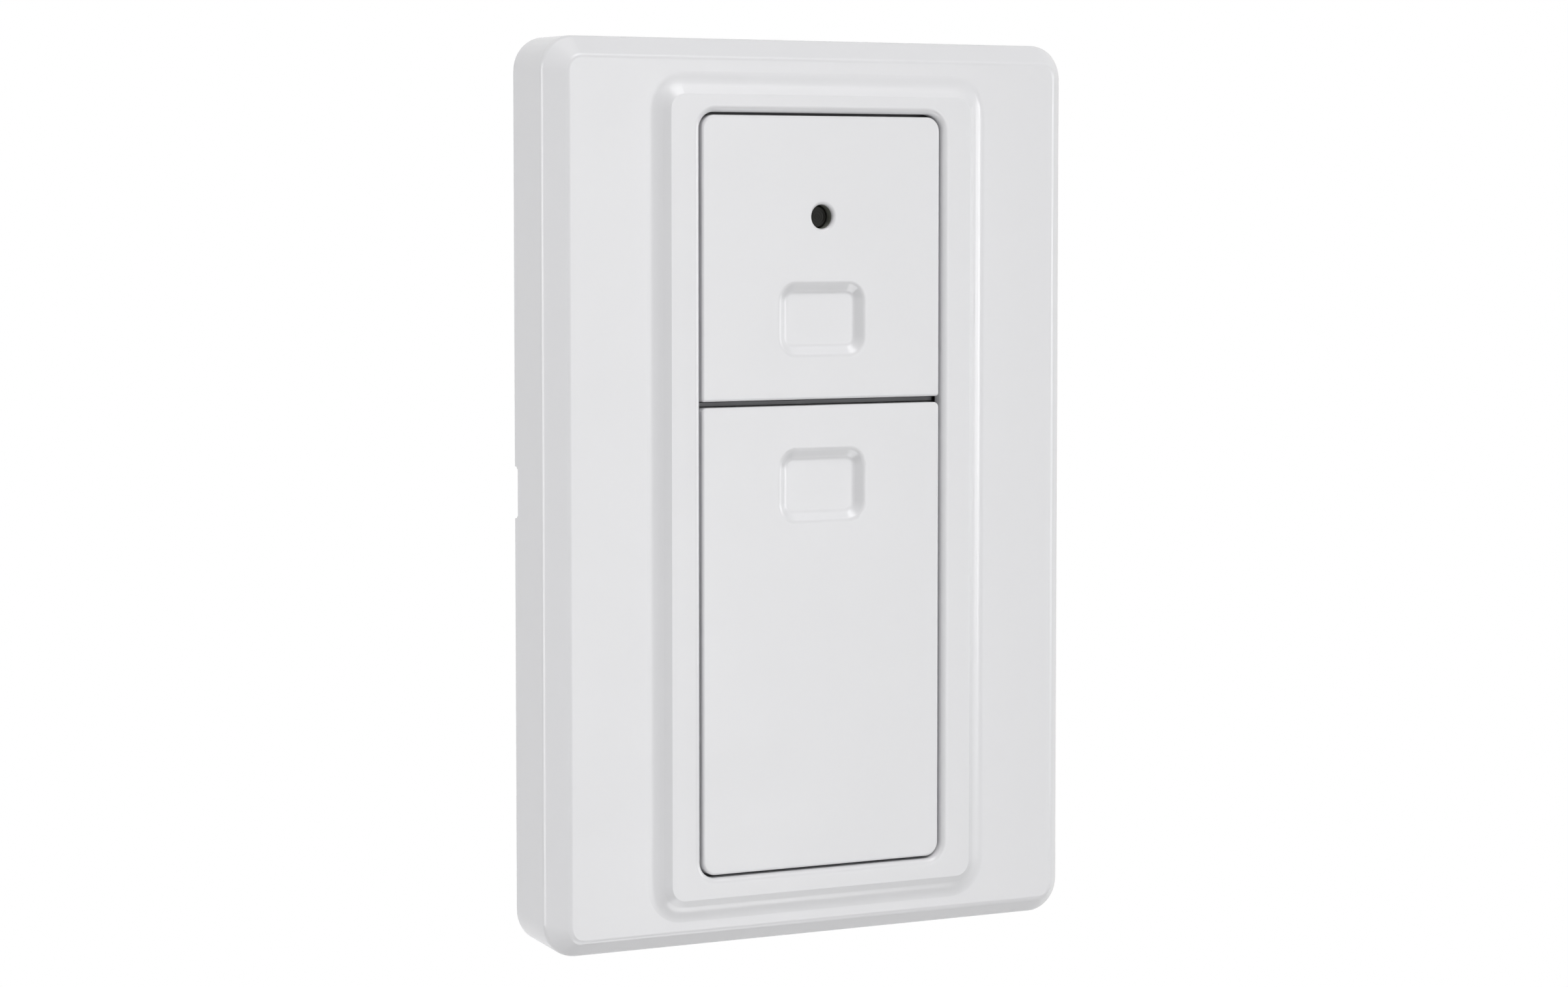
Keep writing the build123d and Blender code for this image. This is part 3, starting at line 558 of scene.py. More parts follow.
class Blank:
    """A primitive on the bench, shaped step by step into a piece."""

    def __init__(self, name: str) -> None:
        """Takes the primitive that was just added.

        Args:
            name: The piece's name.
        """
        self.object: bpy.types.Object = bpy.context.object
        self.object.name = name
        self.object.data.name = name
        bpy.ops.object.transform_apply(location=True, rotation=True, scale=True)

    @classmethod
    def block(cls, name: str, low: Triple, high: Triple) -> Blank:
        """Starts from a block.

        Args:
            name: The piece's name.
            low: Across, depth and height of one corner.
            high: Across, depth and height of the far corner.

        Returns:
            The blank.
        """
        first, last = at(*low), at(*high)
        bpy.ops.mesh.primitive_cube_add(size=1.0, location=(first + last) / 2)
        bpy.context.object.scale = [abs(part) for part in last - first]
        return cls(name)

    @classmethod
    def disc(cls, name: str, centre: Spot, radius: float, near: float, far: float,
             sides: int = 32) -> Blank:
        """Starts from a round disc that faces the wall and the room.

        Args:
            name: The piece's name.
            centre: Across and height of its axis.
            radius: Its radius.
            near: Depth of its face towards the wall.
            far: Depth of its face towards the room.
            sides: Number of sides.

        Returns:
            The blank.
        """
        bpy.ops.mesh.primitive_cylinder_add(
            vertices=sides, radius=radius * MM, depth=(far - near) * MM,
            location=at(centre[0], (near + far) / 2, centre[1]), rotation=(math.pi / 2, 0.0, 0.0))
        return cls(name)

    def _select(self, kind: str, chosen: Callable[[BMPart], bool]) -> Blank:
        """Opens edit mode with some faces or edges selected.

        Args:
            kind: FACE or EDGE.
            chosen: Says of each one whether it is selected.

        Returns:
            The blank itself.
        """
        self.open()
        bpy.ops.mesh.select_mode(type=kind)
        bpy.ops.mesh.select_all(action="DESELECT")
        mesh = bmesh.from_edit_mesh(self.object.data)
        mesh.normal_update()
        for part in mesh.faces if kind == "FACE" else mesh.edges:
            part.select = chosen(part)
        mesh.select_flush_mode()
        bmesh.update_edit_mesh(self.object.data)
        return self

    def faces(self, chosen: Chooser) -> Blank:
        """Selects the faces that are chosen by their middle and normal."""
        return self._select("FACE", lambda face: chosen(face.calc_center_median(), face.normal))

    def edges(self, chosen: Chooser) -> Blank:
        """Selects the edges that are chosen by their middle and mean normal."""
        return self._select("EDGE", lambda edge: chosen(
            (edge.verts[0].co + edge.verts[1].co) / 2,
            sum((face.normal for face in edge.link_faces), Vector()).normalized()))

    def open(self) -> None:
        """Goes into edit mode on this blank alone."""
        if bpy.context.mode != "EDIT_MESH":
            pick([self.object])
            bpy.ops.object.mode_set(mode="EDIT")

    def close(self) -> Blank:
        """Leaves edit mode.

        Returns:
            The blank itself.
        """
        if bpy.context.mode == "EDIT_MESH":
            bpy.ops.object.mode_set(mode="OBJECT")
        return self

    def extrude(self, move: Triple) -> Blank:
        """Extrudes the selected faces some way across, from the wall and up."""
        bpy.ops.mesh.extrude_region_move(TRANSFORM_OT_translate={"value": at(*move)})
        return self

    def resize(self, factor: Triple, centre: Triple) -> Blank:
        """Scales what is selected by the frame's axes about a point in millimetres."""
        bpy.ops.transform.resize(value=factor, center_override=at(*centre))
        return self

    def inset(self, thickness: float, rise: float = 0.0) -> Blank:
        """Leaves a border round the selected faces, and lifts or sinks their inside."""
        bpy.ops.mesh.inset(thickness=thickness * MM, depth=rise * MM)
        return self

    def hollow(self, border: float) -> Blank:
        """Opens the piece from the wall to the room, so that a border is left.

        Args:
            border: Width of the border.

        Returns:
            The blank itself.
        """
        self.faces(lambda _, normal: abs(normal.y) > FLAT).inset(border)
        bpy.ops.mesh.bridge_edge_loops()
        return self.close()

    def bevel(self, width: float, segments: int = 2) -> Blank:
        """Bevels the selected edges."""
        bpy.ops.mesh.bevel(offset=width * MM, segments=segments, affect="EDGES", clamp_overlap=True)
        return self

    def soften(self, width: float, segments: int = 2) -> Blank:
        """Rounds every sharp edge with a bevel modifier that is applied.

        Args:
            width: Width of the bevel.
            segments: Its number of steps.

        Returns:
            The blank itself.
        """
        self.close()
        modifier = self.object.modifiers.new("soft_edges", "BEVEL")
        modifier.width = width * MM
        modifier.segments = segments
        modifier.limit_method = "ANGLE"
        modifier.angle_limit = math.radians(SHARP_EDGE)
        pick([self.object])
        bpy.ops.object.modifier_apply(modifier=modifier.name)
        return self

    def repeat(self, moves: Iterable[Matrix]) -> Blank:
        """Replaces the piece by copies of it, joined into one.

        Args:
            moves: Where each copy goes from where the piece is.

        Returns:
            The blank itself.
        """
        self.close()
        copies: list[bpy.types.Object] = []
        for move in moves:
            twin = self.object.copy()
            twin.data = self.object.data.copy()
            twin.data.transform(move)
            bpy.context.collection.objects.link(twin)
            copies.append(twin)
        name = self.object.name
        bpy.data.objects.remove(self.object)
        return self._weld(copies, name)

    def lift(self, height: float) -> Blank:
        """Moves the whole piece up by some millimetres."""
        self.close().object.data.transform(Matrix.Translation(at(0.0, 0.0, height)))
        return self

    def gather(self, others: Iterable[Blank]) -> Blank:
        """Joins other blanks to this one."""
        pieces = [blank.close().object for blank in (self, *others)]
        return self._weld(pieces, self.object.name)

    def _weld(self, objects: Sequence[bpy.types.Object], name: str) -> Blank:
        """Joins objects into one.

        Args:
            objects: The objects.
            name: The name of the result.

        Returns:
            The blank itself, which holds the result.
        """
        pick(objects)
        if len(objects) > 1:
            bpy.ops.object.join()
        self.object = objects[0]
        self.object.name = name
        self.object.data.name = name
        return self

    def done(self, slot: Slot, finish: Finish, body: Body = Body.FRONT,
             smooth: float = SHARP_EDGE) -> None:
        """Finishes the piece: smooth shading, material and body.

        Args:
            slot: The record's slot for its finish; not used.
            finish: Its finish.
            body: The body that it rides on.
            smooth: Largest angle in degrees that is shaded smooth.
        """
        self.open()
        bpy.ops.mesh.select_all(action="SELECT")
        bpy.ops.mesh.normals_make_consistent(inside=False)
        self.close()
        pick([self.object])
        bpy.ops.object.transform_apply(location=True, rotation=True, scale=True)
        bpy.ops.object.shade_smooth_by_angle(angle=math.radians(smooth))
        self.object.data.materials.clear()
        self.object.data.materials.append(made(finish))
        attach(self.object, body.value)
        faces = len(self.object.data.polygons)
        LOG.info("modelled %s, %d faces, in %s", self.object.name, faces, finish.name)


MATERIALS: dict[str, bpy.types.Material] = {}


def made(finish: Finish) -> bpy.types.Material:
    """The material of a finish, made the first time that it is asked for.

    Args:
        finish: The finish.

    Returns:
        Its material.
    """
    if finish.name not in MATERIALS:
        MATERIALS[finish.name] = finish.material()
    return MATERIALS[finish.name]


def dress(node: str, finish: Finish) -> None:
    """Gives a solid of the frame its finish.

    Args:
        node: The solid's name.
        finish: The finish to use.
    """
    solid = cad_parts[node]
    for slot in solid.material_slots:
        slot.material = made(finish)
    LOG.info("dressed %s in %s", node, finish.name)


def middle(node: str) -> Spot:
    """Across and height of a solid's middle, in millimetres."""
    low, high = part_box(node)
    return (low.x + high.x) / 2 / MM, (low.z + high.z) / 2 / MM


def shifts(spots: Iterable[Spot]) -> list[Matrix]:
    """Moves from the middle of the object to spots across and up."""
    return [Matrix.Translation(at(across, 0.0, height)) for across, height in spots]


def around(node: str, turns: Iterable[Matrix], levels: Iterable[float]) -> list[Matrix]:
    """Moves from the middle of the object to rows round a solid.

    Args:
        node: The solid's name.
        turns: The turn to each row's side of the solid.
        levels: How far up each copy stands in its row.

    Returns:
        One matrix for each copy.
    """
    across, height = middle(node)
    home = Matrix.Translation(at(across, 0.0, height))
    rows = [Matrix.Translation(at(0.0, 0.0, level)) for level in levels]
    return [home @ turn @ row for turn in turns for row in rows]


def witness_marks(name: str, spots: Iterable[Spot], face: float, facing: Facing,
                  radius: float) -> Blank:
    """The faint round marks that a mould's ejector pins leave.

    Args:
        name: The piece's name.
        spots: Across and height of each mark.
        face: Depth of the face that carries them.
        facing: The side that the face looks to.
        radius: Radius of a mark.

    Returns:
        The blank.
    """
    way = facing.value
    near, far = sorted((face - 0.05 * way, face + 0.02 * way))
    mark = Blank.disc(name, (0.0, 0.0), radius, near, far, 40)
    mark.faces(looks(0.0, way, 0.0)).inset(0.16).inset(0.08, -0.02).close()
    return mark.repeat(shifts(spots))


def solder_cone(name: str, base: float, tip: float, height: float) -> Blank:
    """A joint of solder that climbs from the board's back towards the wall, in a hollow curve.

    Args:
        name: The piece's name.
        base: Radius on the pad.
        tip: Radius at the top.
        height: How far it climbs.

    Returns:
        The blank, in the middle of the object.
    """
    foot = 0.06
    level, radius = BOARD_BACK - foot, base
    cone = Blank.disc(name, (0.0, 0.0), base, level, BOARD_BACK + SUNK, 24)
    cone.faces(looks(0.0, 1.0, 0.0))
    for share, reach in SOLDER_CURVE:
        next_level = BOARD_BACK - foot - (height - foot) * share
        next_radius = tip + (base - tip) * reach
        cone.extrude((0.0, next_level - level, 0.0))
        cone.resize((next_radius / radius, 1.0, next_radius / radius), (0.0, next_level, 0.0))
        level, radius = next_level, next_radius
    cone.inset(radius * 0.3, radius * 0.12)
    return cone.close()


# -------------------- assemblies


@dataclass
class Assembly:
    """A sub-assembly of the button."""

    finishes: ClassVar[dict[str, Finish]] = {}

    def build(self) -> None:
        """Dresses the solids and models the small pieces."""
        for node, finish in self.finishes.items():
            dress(node, finish)
        self.model()

    def model(self) -> None:
        """Models what the solids leave out, nothing unless a class says so."""


@dataclass
class WallPlate(Assembly):
    """The plate that is screwed to the wall."""

    finishes = {"wall_plate": PLATE_FINISH}
    inner_face: float = 1.5
    mark_radius: float = 1.6
    mark_spots: tuple[Spot, ...] = ((30.5, 38.0), (30.5, -38.0), (14.5, 6.0))
    arrow_height: float = 9.0
    arrow_rise: float = 0.15
    arrow_across: float = 25.5
    arrow_stem: float = 0.6
    arrow_head: float = 3.0
    arrow_spread: float = 3.4
    arrow_tip: float = 0.04

    def model(self) -> None:
        """Models what is moulded on the plate's inner side."""
        spots = [(side * x, z) for side in SIDES for x, z in self.mark_spots]
        marks = witness_marks("plate_ejector_marks", spots, self.inner_face, Facing.ROOM,
                              self.mark_radius)
        marks.done(Slot.PLATE, PLATE_FINISH, Body.WALL_PLATE)
        self.make_up_arrow()

    def make_up_arrow(self) -> None:
        """A raised arrow that shows which end of the plate goes up."""
        x, half, start = self.arrow_across, self.arrow_height / 2, 0.01
        front, neck = self.inner_face + self.arrow_rise, half - self.arrow_head
        stem = Blank.block("plate_up_arrow", (x - self.arrow_stem, self.inner_face - 0.1, -half),
                           (x + self.arrow_stem, front, neck))
        stem.faces(looks(0.0, 0.0, 1.0)).extrude((0.0, 0.0, start))
        stem.resize((self.arrow_spread, 1.0, 1.0), (x, front, neck))
        stem.extrude((0.0, 0.0, self.arrow_head - start))
        stem.resize((self.arrow_tip, 1.0, 1.0), (x, front, half)).close()
        stem.soften(0.06).done(Slot.PLATE, PLATE_FINISH, Body.WALL_PLATE)


@dataclass
class FrontShell(Assembly):
    """The bevelled front frame with its raised surround."""

    finishes = {"front_frame": CASE_FINISH}


@dataclass
class Keys(Assembly):
    """The two rocking keys and the dark sleeve of the lamp hole."""

    finishes = {"upper_button": KEY_FINISH, "lower_button": KEY_FINISH,
                "lamp_shroud": SHROUD_FINISH}


@dataclass
class Carrier(Assembly):
    """The grey inner carrier with its foam bumpers and screws."""

    finishes = {"inner_carrier": CARRIER_FINISH, "key_bumpers": FOAM_FINISH,
                "carrier_screws": SCREW_FINISH, "board_screws": SCREW_FINISH}
    back_face: float = 7.0
    mark_radius: float = 1.25
    mark_across: float = 21.6
    mark_levels: tuple[float, ...] = (-30.0, -8.0, 14.0, 34.0)

    def model(self) -> None:
        """Models the carrier's ejector marks."""
        spots = [(side * self.mark_across, z) for side in SIDES for z in self.mark_levels]
        marks = witness_marks("carrier_ejector_marks", spots, self.back_face, Facing.WALL,
                              self.mark_radius)
        marks.done(Slot.CARRIER, CARRIER_FINISH)


@dataclass
class CircuitBoard(Assembly):
    """The board, its tracks, vias and printed outlines."""

    finishes = {"circuit_board": MASK_FINISH}
    drawn_level: float = 11.5
    track_width: float = 0.3
    track_rise: float = 0.03
    ring_radius: float = 0.42
    ring_width: float = 0.2
    pad_radius: float = 0.75
    pad_start: Spot = (4.6, 38.4)
    pad_pitch: float = 2.2
    pad_count: int = 4
    metal_rise: float = 0.02
    ink_width: float = 0.16
    ink_rise: float = 0.02
    cell_spot: Spot = (0.0, -8.0)
    cell_ring: float = 13.6
    via_spots: tuple[Spot, ...] = (
        (3.6, 24.2), (5.0, 24.2), (6.4, 24.2), (-11.4, 30.6), (-5.0, 28.4), (8.4, 14.0),
        (8.4, 17.0), (-13.6, 20.0), (-13.6, 17.4), (12.2, 14.0), (12.2, 27.0), (-15.2, 4.0),
        (15.2, 1.0), (-1.27, 29.0), (-1.2, 5.4), (2.0, 8.6), (-14.6, 26.0), (10.4, 33.4))
    frames: tuple[Box, ...] = (
        (-12.9, 33.3, 6.8, 6.8), (2.4, 19.4, 5.2, 5.2), (2.9, 11.0, 4.2, 6.0),
        (-11.4, 12.2, 8.8, 2.6), (-0.2, 27.8, 10.4, 2.4))
    strokes: tuple[Box, ...] = (
        (-11.9, 16.1, 1.4, 0.16), (-11.9, 16.1, 0.16, 1.4), (-3.5, 25.74, 1.4, 0.16),
        (-2.26, 24.5, 0.16, 1.4), (8.6, 4.4, 2.4, 0.22), (9.69, 3.3, 0.22, 2.4))

    def model(self) -> None:
        """Models what is etched and printed on the board."""
        self.make_tracks()
        self.make_vias()
        self.make_test_pads()
        self.make_outlines()

    def shift(self) -> float:
        """How far the board lies above the level at which its tracks are drawn."""
        return middle("circuit_board")[1] - self.drawn_level

    def routes(self) -> list[list[Spot]]:
        """The routes of the copper tracks on the board's back.

        Returns:
            Across and height of each route's corners.
        """
        bus = [[(-2.3, 18.6 + 0.9 * i), (0.2 + 0.4 * i, 18.6 + 0.9 * i),
                (1.2 + 0.25 * i, 20.3 + 0.55 * i), (2.8, 20.3 + 0.55 * i)] for i in range(5)]
        supply = [[(-10.3 + 2.2 * i, 14.4), (-10.3 + 2.2 * i, 16.2)] for i in range(4)]
        ladder = [[(0.6 + 2.2 * i, 28.1), (0.6 + 2.2 * i, 26.6 - 0.5 * i), (3.6 + 0.7 * i, 24.2)]
                  for i in range(5)]
        learn = [[(-8.75 + 0.9 * i, 25.6), (-8.75 + 0.9 * i, 29.0), (-11.4 + 1.9 * i, 31.6),
                  (-11.4 + 1.9 * i, 33.6)] for i in range(3)]
        lamp = [[(0.6, 29.9), (0.6, 33.0), (1.27, 34.4), (1.27, 35.8)],
                [(-2.3, 23.6), (-1.27, 24.8), (-1.27, 35.8)]]
        power = [[(11.8, -4.0), (15.2, -0.6), (15.2, 3.6), (9.0, 9.8), (9.0, 11.4), (6.0, 11.4)],
                 [(-11.8, -4.0), (-15.2, -0.6), (-15.2, 9.0), (-12.6, 11.6), (-10.3, 11.6),
                  (-10.3, 12.6)],
                 [(-3.7, 12.6), (-3.7, 10.4), (-1.2, 7.9), (-1.2, 3.2)]]
        radio = [[(7.2, 21.4), (9.6, 21.4), (12.2, 18.8), (12.2, 8.6), (14.5, 6.3)],
                 [(4.2, 19.9), (4.2, 16.7)], [(5.8, 19.9), (5.8, 16.7)],
                 [(7.2, 22.6), (10.8, 22.6), (12.2, 24.0), (12.2, 31.6), (14.5, 33.9)]]
        return bus + supply + ladder + learn + lamp + power + radio

    def make_tracks(self) -> None:
        """The copper tracks, which stand up a little under the lacquer."""
        near, far = BOARD_BACK - self.track_rise, BOARD_BACK + SUNK
        half = self.track_width / 2
        runs: list[Blank] = []
        for route in self.routes():
            for start, end in zip(route, route[1:]):
                run = Blank.block("run", (0.0, near, -half), (math.dist(start, end), far, half))
                angle = math.atan2(end[1] - start[1], end[0] - start[0])
                move = Matrix.Translation(at(start[0], 0.0, start[1]))
                run.object.data.transform(move @ Matrix.Rotation(-angle, 4, "Y"))
                runs.append(run)
            runs.extend(Blank.disc("bend", spot, half, near, far, 10) for spot in route)
        runs[0].object.name = "board_tracks"
        runs[0].gather(runs[1:]).lift(self.shift()).done(Slot.BOARD, TRACK_FINISH)

    def make_vias(self) -> None:
        """Plated rings where a track goes through the board."""
        ring = Blank.disc("board_vias", (0.0, 0.0), self.ring_radius, BOARD_BACK - SUNK,
                          BOARD_BACK + self.metal_rise, 20)
        ring.faces(looks(0.0, 1.0, 0.0)).inset(self.ring_width).inset(0.01, -SUNK).close()
        ring.repeat(shifts(self.via_spots)).lift(self.shift()).done(Slot.GOLD, GOLD_FINISH)

    def make_test_pads(self) -> None:
        """A row of bare test pads."""
        pad = Blank.disc("board_test_pads", (0.0, 0.0), self.pad_radius, BOARD_BACK - 0.04,
                         BOARD_BACK + self.metal_rise, 28)
        pad.faces(looks(0.0, 1.0, 0.0)).inset(0.05).close()
        across, height = self.pad_start
        spots = [(across + self.pad_pitch * i, height) for i in range(self.pad_count)]
        pad.soften(0.015).repeat(shifts(spots))
        pad.lift(self.shift()).done(Slot.GOLD, GOLD_FINISH)

    def make_outlines(self) -> None:
        """The printed outlines of the learn switch, the chips and the cell, with its plus sign."""
        near, far = BOARD_BACK - self.ink_rise, BOARD_BACK + BARELY_SUNK
        prints = [Blank.block("print", (x, near, z), (x + wide, far, z + high))
                  for x, z, wide, high in self.frames + self.strokes]
        prints.append(Blank.disc("print", self.cell_spot, self.cell_ring, near, far, 96))
        for shape in [*prints[:len(self.frames)], prints[-1]]:
            shape.hollow(self.ink_width)
        prints[0].object.name = "board_print"
        prints[0].gather(prints[1:]).lift(self.shift()).done(Slot.KEY, INK_FINISH)


@dataclass
class PushSwitches(Assembly):
    """The two switches behind the keys."""

    finishes = {f"{name}_switch_{part}": finish for name in ("upper", "lower") for part, finish in (
        ("base", SWITCH_FINISH), ("cover", STEEL_FINISH), ("plunger", PLUNGER_FINISH),
        ("dome", STEEL_FINISH), ("terminals", TIN_FINISH))}
    foot_across: float = 3.35
    foot_rise: float = 1.85
    pad_half: Spot = (0.55, 0.5)
    pad_rise: float = 0.12

    def model(self) -> None:
        """Models the switches' solder."""
        levels = [middle(f"{name}_switch_base")[1] for name in ("upper", "lower")]
        feet = [(side * self.foot_across, level + up * self.foot_rise)
                for level in levels for side in SIDES for up in SIDES]
        x, z = self.pad_half
        pads = Blank.block("switch_solder", (-x, BOARD_FRONT - BARELY_SUNK, -z),
                           (x, BOARD_FRONT + self.pad_rise, z))
        pads.faces(looks(0.0, -1.0, 0.0)).inset(0.16, 0.05).close()
        pads.soften(0.04).repeat(shifts(feet)).done(Slot.TINNED, SOLDER_FINISH)


@dataclass
class IndicatorLamp(Assembly):
    """The smoked lamp and its leads."""

    finishes = {"lamp_body": LENS_FINISH, "lamp_leads": TIN_FINISH}
    lead_across: float = 1.27

    def model(self) -> None:
        """Solders the leads."""
        level = middle("lamp_leads")[1]
        joint = solder_cone("lamp_solder", 0.85, 0.33, 0.55)
        joint.repeat(shifts([(side * self.lead_across, level) for side in SIDES]))
        joint.done(Slot.TINNED, SOLDER_FINISH, smooth=ROUND_JOINT)


@dataclass
class CoinCell(Assembly):
    """The coin cell, its clip and its contact."""

    finishes = {"battery_can": CELL_FINISH, "battery_cap": CELL_FINISH,
                "battery_contact": GOLD_FINISH, "battery_clip": CLIP_FINISH}
    back: float = 2.25
    seal_seat: float = 5.1
    seal_radius: float = 9.55
    cap_radius: float = 8.6
    bead_span: Spot = (11.9, 12.75)
    plus_drop: float = 7.4
    plus_half: float = 1.2
    stroke_half: float = 0.22
    bead_half: float = 4.8

    def model(self) -> None:
        """Models the cell's seal and plus sign, and the clip's solder."""
        self.make_seal()
        self.make_plus()
        self.make_clip_solder()

    def make_seal(self) -> None:
        """The dark nylon ring between the can and the cap."""
        seal = Blank.disc("cell_seal", middle("battery_can"), self.seal_radius,
                          self.seal_seat - 0.05, self.seal_seat + 0.14, 96)
        seal.hollow(self.seal_radius - self.cap_radius)
        seal.soften(0.05).done(Slot.SWITCH, GASKET_FINISH, Body.BATTERY)

    def make_plus(self) -> None:
        """The plus sign stamped on the can's back."""
        near, far = self.back - 0.03, self.back + 0.05
        level = middle("battery_can")[1] - self.plus_drop
        bar, post = [Blank.block(name, (-x, near, level - z), (x, far, level + z)).soften(0.02)
                     for name, x, z in (("cell_plus", self.plus_half, self.stroke_half),
                                        ("post", self.stroke_half, self.plus_half))]
        bar.gather([post]).done(Slot.CELL, CELL_FINISH, Body.BATTERY)

    def make_clip_solder(self) -> None:
        """The solder along the clip's feet."""
        inner, outer = self.bead_span
        bead = Blank.block("clip_solder", (inner, BOARD_BACK - 0.22, -self.bead_half),
                           (outer, BOARD_BACK + 0.02, self.bead_half))
        bead.faces(looks(0.0, 1.0, 0.0)).inset(0.2, -0.02).close()
        bead.soften(0.09, 3).repeat(around("battery_can", HALF_TURNS, [0.0]))
        bead.done(Slot.TINNED, SOLDER_FINISH)


@dataclass
class BoardParts(Assembly):
    """The chips and small parts on the back of the board."""

    finishes = {"crystal": CAN_FINISH, "chip_capacitors": CAPACITOR_FINISH,
                "chip_resistors": RESISTOR_FINISH, "antenna_wire": WIRE_FINISH}
    controller_size: float = 7.0
    radio_size: float = 4.0
    leg_steps: tuple[Spot, ...] = ((0.12, 0.03), (0.14, 0.36), (0.1, 0.05), (0.4, 0.0))
    leg_pitch: float = 0.8
    legs_per_side: int = 8
    pad_pitch: float = 0.6
    pads_per_side: int = 5
    chip_pitch: float = 2.2
    chip_width: float = 0.8
    chip_length: float = 1.6
    tinning: float = 0.015
    antenna_reach: float = 14.0

    def model(self) -> None:
        """Prints the chips and models the parts' legs, end caps and solder."""
        for node, inset, radius in (("microcontroller", 0.8, 0.4), ("radio_chip", 0.6, 0.25)):
            low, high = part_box(node)
            dot = (low.x + inset * MM, high.y, high.z - inset * MM)
            dress(node, ChipResin(f"{node}_resin", shade(40, 40, 42), dot, radius * MM))
        self.make_legs()
        self.make_radio_pads()
        self.make_end_caps("capacitor_ends", middle("chip_capacitors"), 4, 0.8)
        self.make_end_caps("resistor_ends", middle("chip_resistors"), 5, 0.45)
        self.make_antenna_solder()

    @staticmethod
    def row(count: int, pitch: float) -> list[float]:
        """Places of some things in a row about its middle."""
        return [pitch * (i - (count - 1) / 2) for i in range(count)]

    def make_legs(self) -> None:
        """Gull-wing legs on the controller's four sides."""
        edge = self.controller_size / 2
        leg = Blank.block("controller_legs", (edge - 0.1, BOARD_BACK - 0.56, -0.15),
                          (edge + 0.25, BOARD_BACK - 0.42, 0.15))
        leg.faces(looks(1.0, 0.0, 0.0))
        for across, depth in self.leg_steps:
            leg.extrude((across, depth, 0.0))
        leg.soften(0.02, 1)
        levels = self.row(self.legs_per_side, self.leg_pitch)
        leg.repeat(around("microcontroller", QUARTER_TURNS, levels))
        leg.done(Slot.TINNED, TIN_FINISH)

    def make_radio_pads(self) -> None:
        """The solder that shows round the radio chip's edge."""
        edge = self.radio_size / 2
        pad = Blank.block("radio_solder", (edge - 0.05, BOARD_BACK - 0.16, -0.14),
                          (edge + 0.28, BOARD_BACK + 0.02, 0.14))
        pad.edges(looks(1.0, 1.0, 0.0)).bevel(0.12, 3).close()
        levels = self.row(self.pads_per_side, self.pad_pitch)
        pad.repeat(around("radio_chip", QUARTER_TURNS, levels))
        pad.done(Slot.TINNED, SOLDER_FINISH)

    def make_end_caps(self, name: str, centre: Spot, count: int, height: float) -> None:
        """The tinned ends of a row of chip parts, each in its solder.

        Args:
            name: The piece's name.
            centre: Middle of the row.
            count: Number of parts in the row.
            height: Height of a part.
        """
        half, end = self.chip_width / 2 + self.tinning, self.chip_length / 2
        cap = Blank.block(name, (-half, BOARD_BACK - height - self.tinning, end - 0.32),
                          (half, BOARD_BACK + BARELY_SUNK, end + self.tinning))
        cap.soften(0.04)
        fillet = Blank.block("fillet", (-half, BOARD_BACK - height * 0.7, end),
                             (half, BOARD_BACK + BARELY_SUNK, end + 0.32))
        fillet.edges(looks(0.0, 1.0, 1.0)).bevel(min(0.29, height * 0.6), 4).close()
        rows = shifts([(centre[0] + x, centre[1]) for x in self.row(count, self.chip_pitch)])
        cap.gather([fillet]).repeat([row @ turn for row in rows for turn in HALF_TURNS])
        cap.done(Slot.TINNED, SOLDER_FINISH)

    def make_antenna_solder(self) -> None:
        """The solder at the antenna's two ends."""
        across, height = middle("antenna_wire")
        joint = solder_cone("antenna_solder", 0.95, 0.43, 0.6)
        joint.repeat(shifts([(across, height + side * self.antenna_reach) for side in SIDES]))
        joint.done(Slot.TINNED, SOLDER_FINISH, smooth=ROUND_JOINT)


@dataclass
class LearnSwitch(Assembly):
    """The pairing switch that is pressed through the wall plate."""

    finishes = {"learn_switch_base": SWITCH_FINISH, "learn_switch_cover": STEEL_FINISH,
                "learn_switch_plunger": LEARN_FINISH}
    size: float = 6.0
    cover_top: float = 3.1
    stud_radius: float = 0.42
    stud_inset: float = 0.62
    stud_smooth: float = 50.0
    foot_level: float = 2.0

    def model(self) -> None:
        """Models the switch's rivets and feet."""
        self.make_rivets()
        self.make_feet()

    def make_rivets(self) -> None:
        """The melted nylon studs at the cover's corners."""
        top = self.cover_top
        stud = Blank.disc("learn_rivets", (0.0, 0.0), self.stud_radius, top - 0.16, top + 0.05, 20)
        stud.edges(lambda middle, _: middle.y > -(top - 0.1) * MM).bevel(0.12, 3).close()
        reach = self.size / 2 - self.stud_inset
        across, height = middle("learn_switch_base")
        corners = [(across + x * reach, height + z * reach) for x in SIDES for z in SIDES]
        stud.repeat(shifts(corners))
        stud.done(Slot.SWITCH, SWITCH_FINISH, smooth=self.stud_smooth)

    def make_feet(self) -> None:
        """The four soldered feet beside the switch."""
        edge = self.size / 2
        foot = Blank.block("learn_feet", (edge - 0.1, BOARD_BACK - 0.22, -0.35),
                           (edge + 0.45, BOARD_BACK - 0.06, 0.35))
        foot.faces(looks(1.0, 0.0, 0.0)).extrude((0.35, 0.06, 0.0))
        foot.soften(0.03)
        bead = Blank.block("bead", (edge + 0.3, BOARD_BACK - 0.1, -0.5),
                           (edge + 1.05, BOARD_BACK + 0.02, 0.5))
        levels = [side * self.foot_level for side in SIDES]
        foot.gather([bead.soften(0.05)]).repeat(around("learn_switch_base", HALF_TURNS, levels))
        foot.done(Slot.TINNED, SOLDER_FINISH)


# -------------------- studio


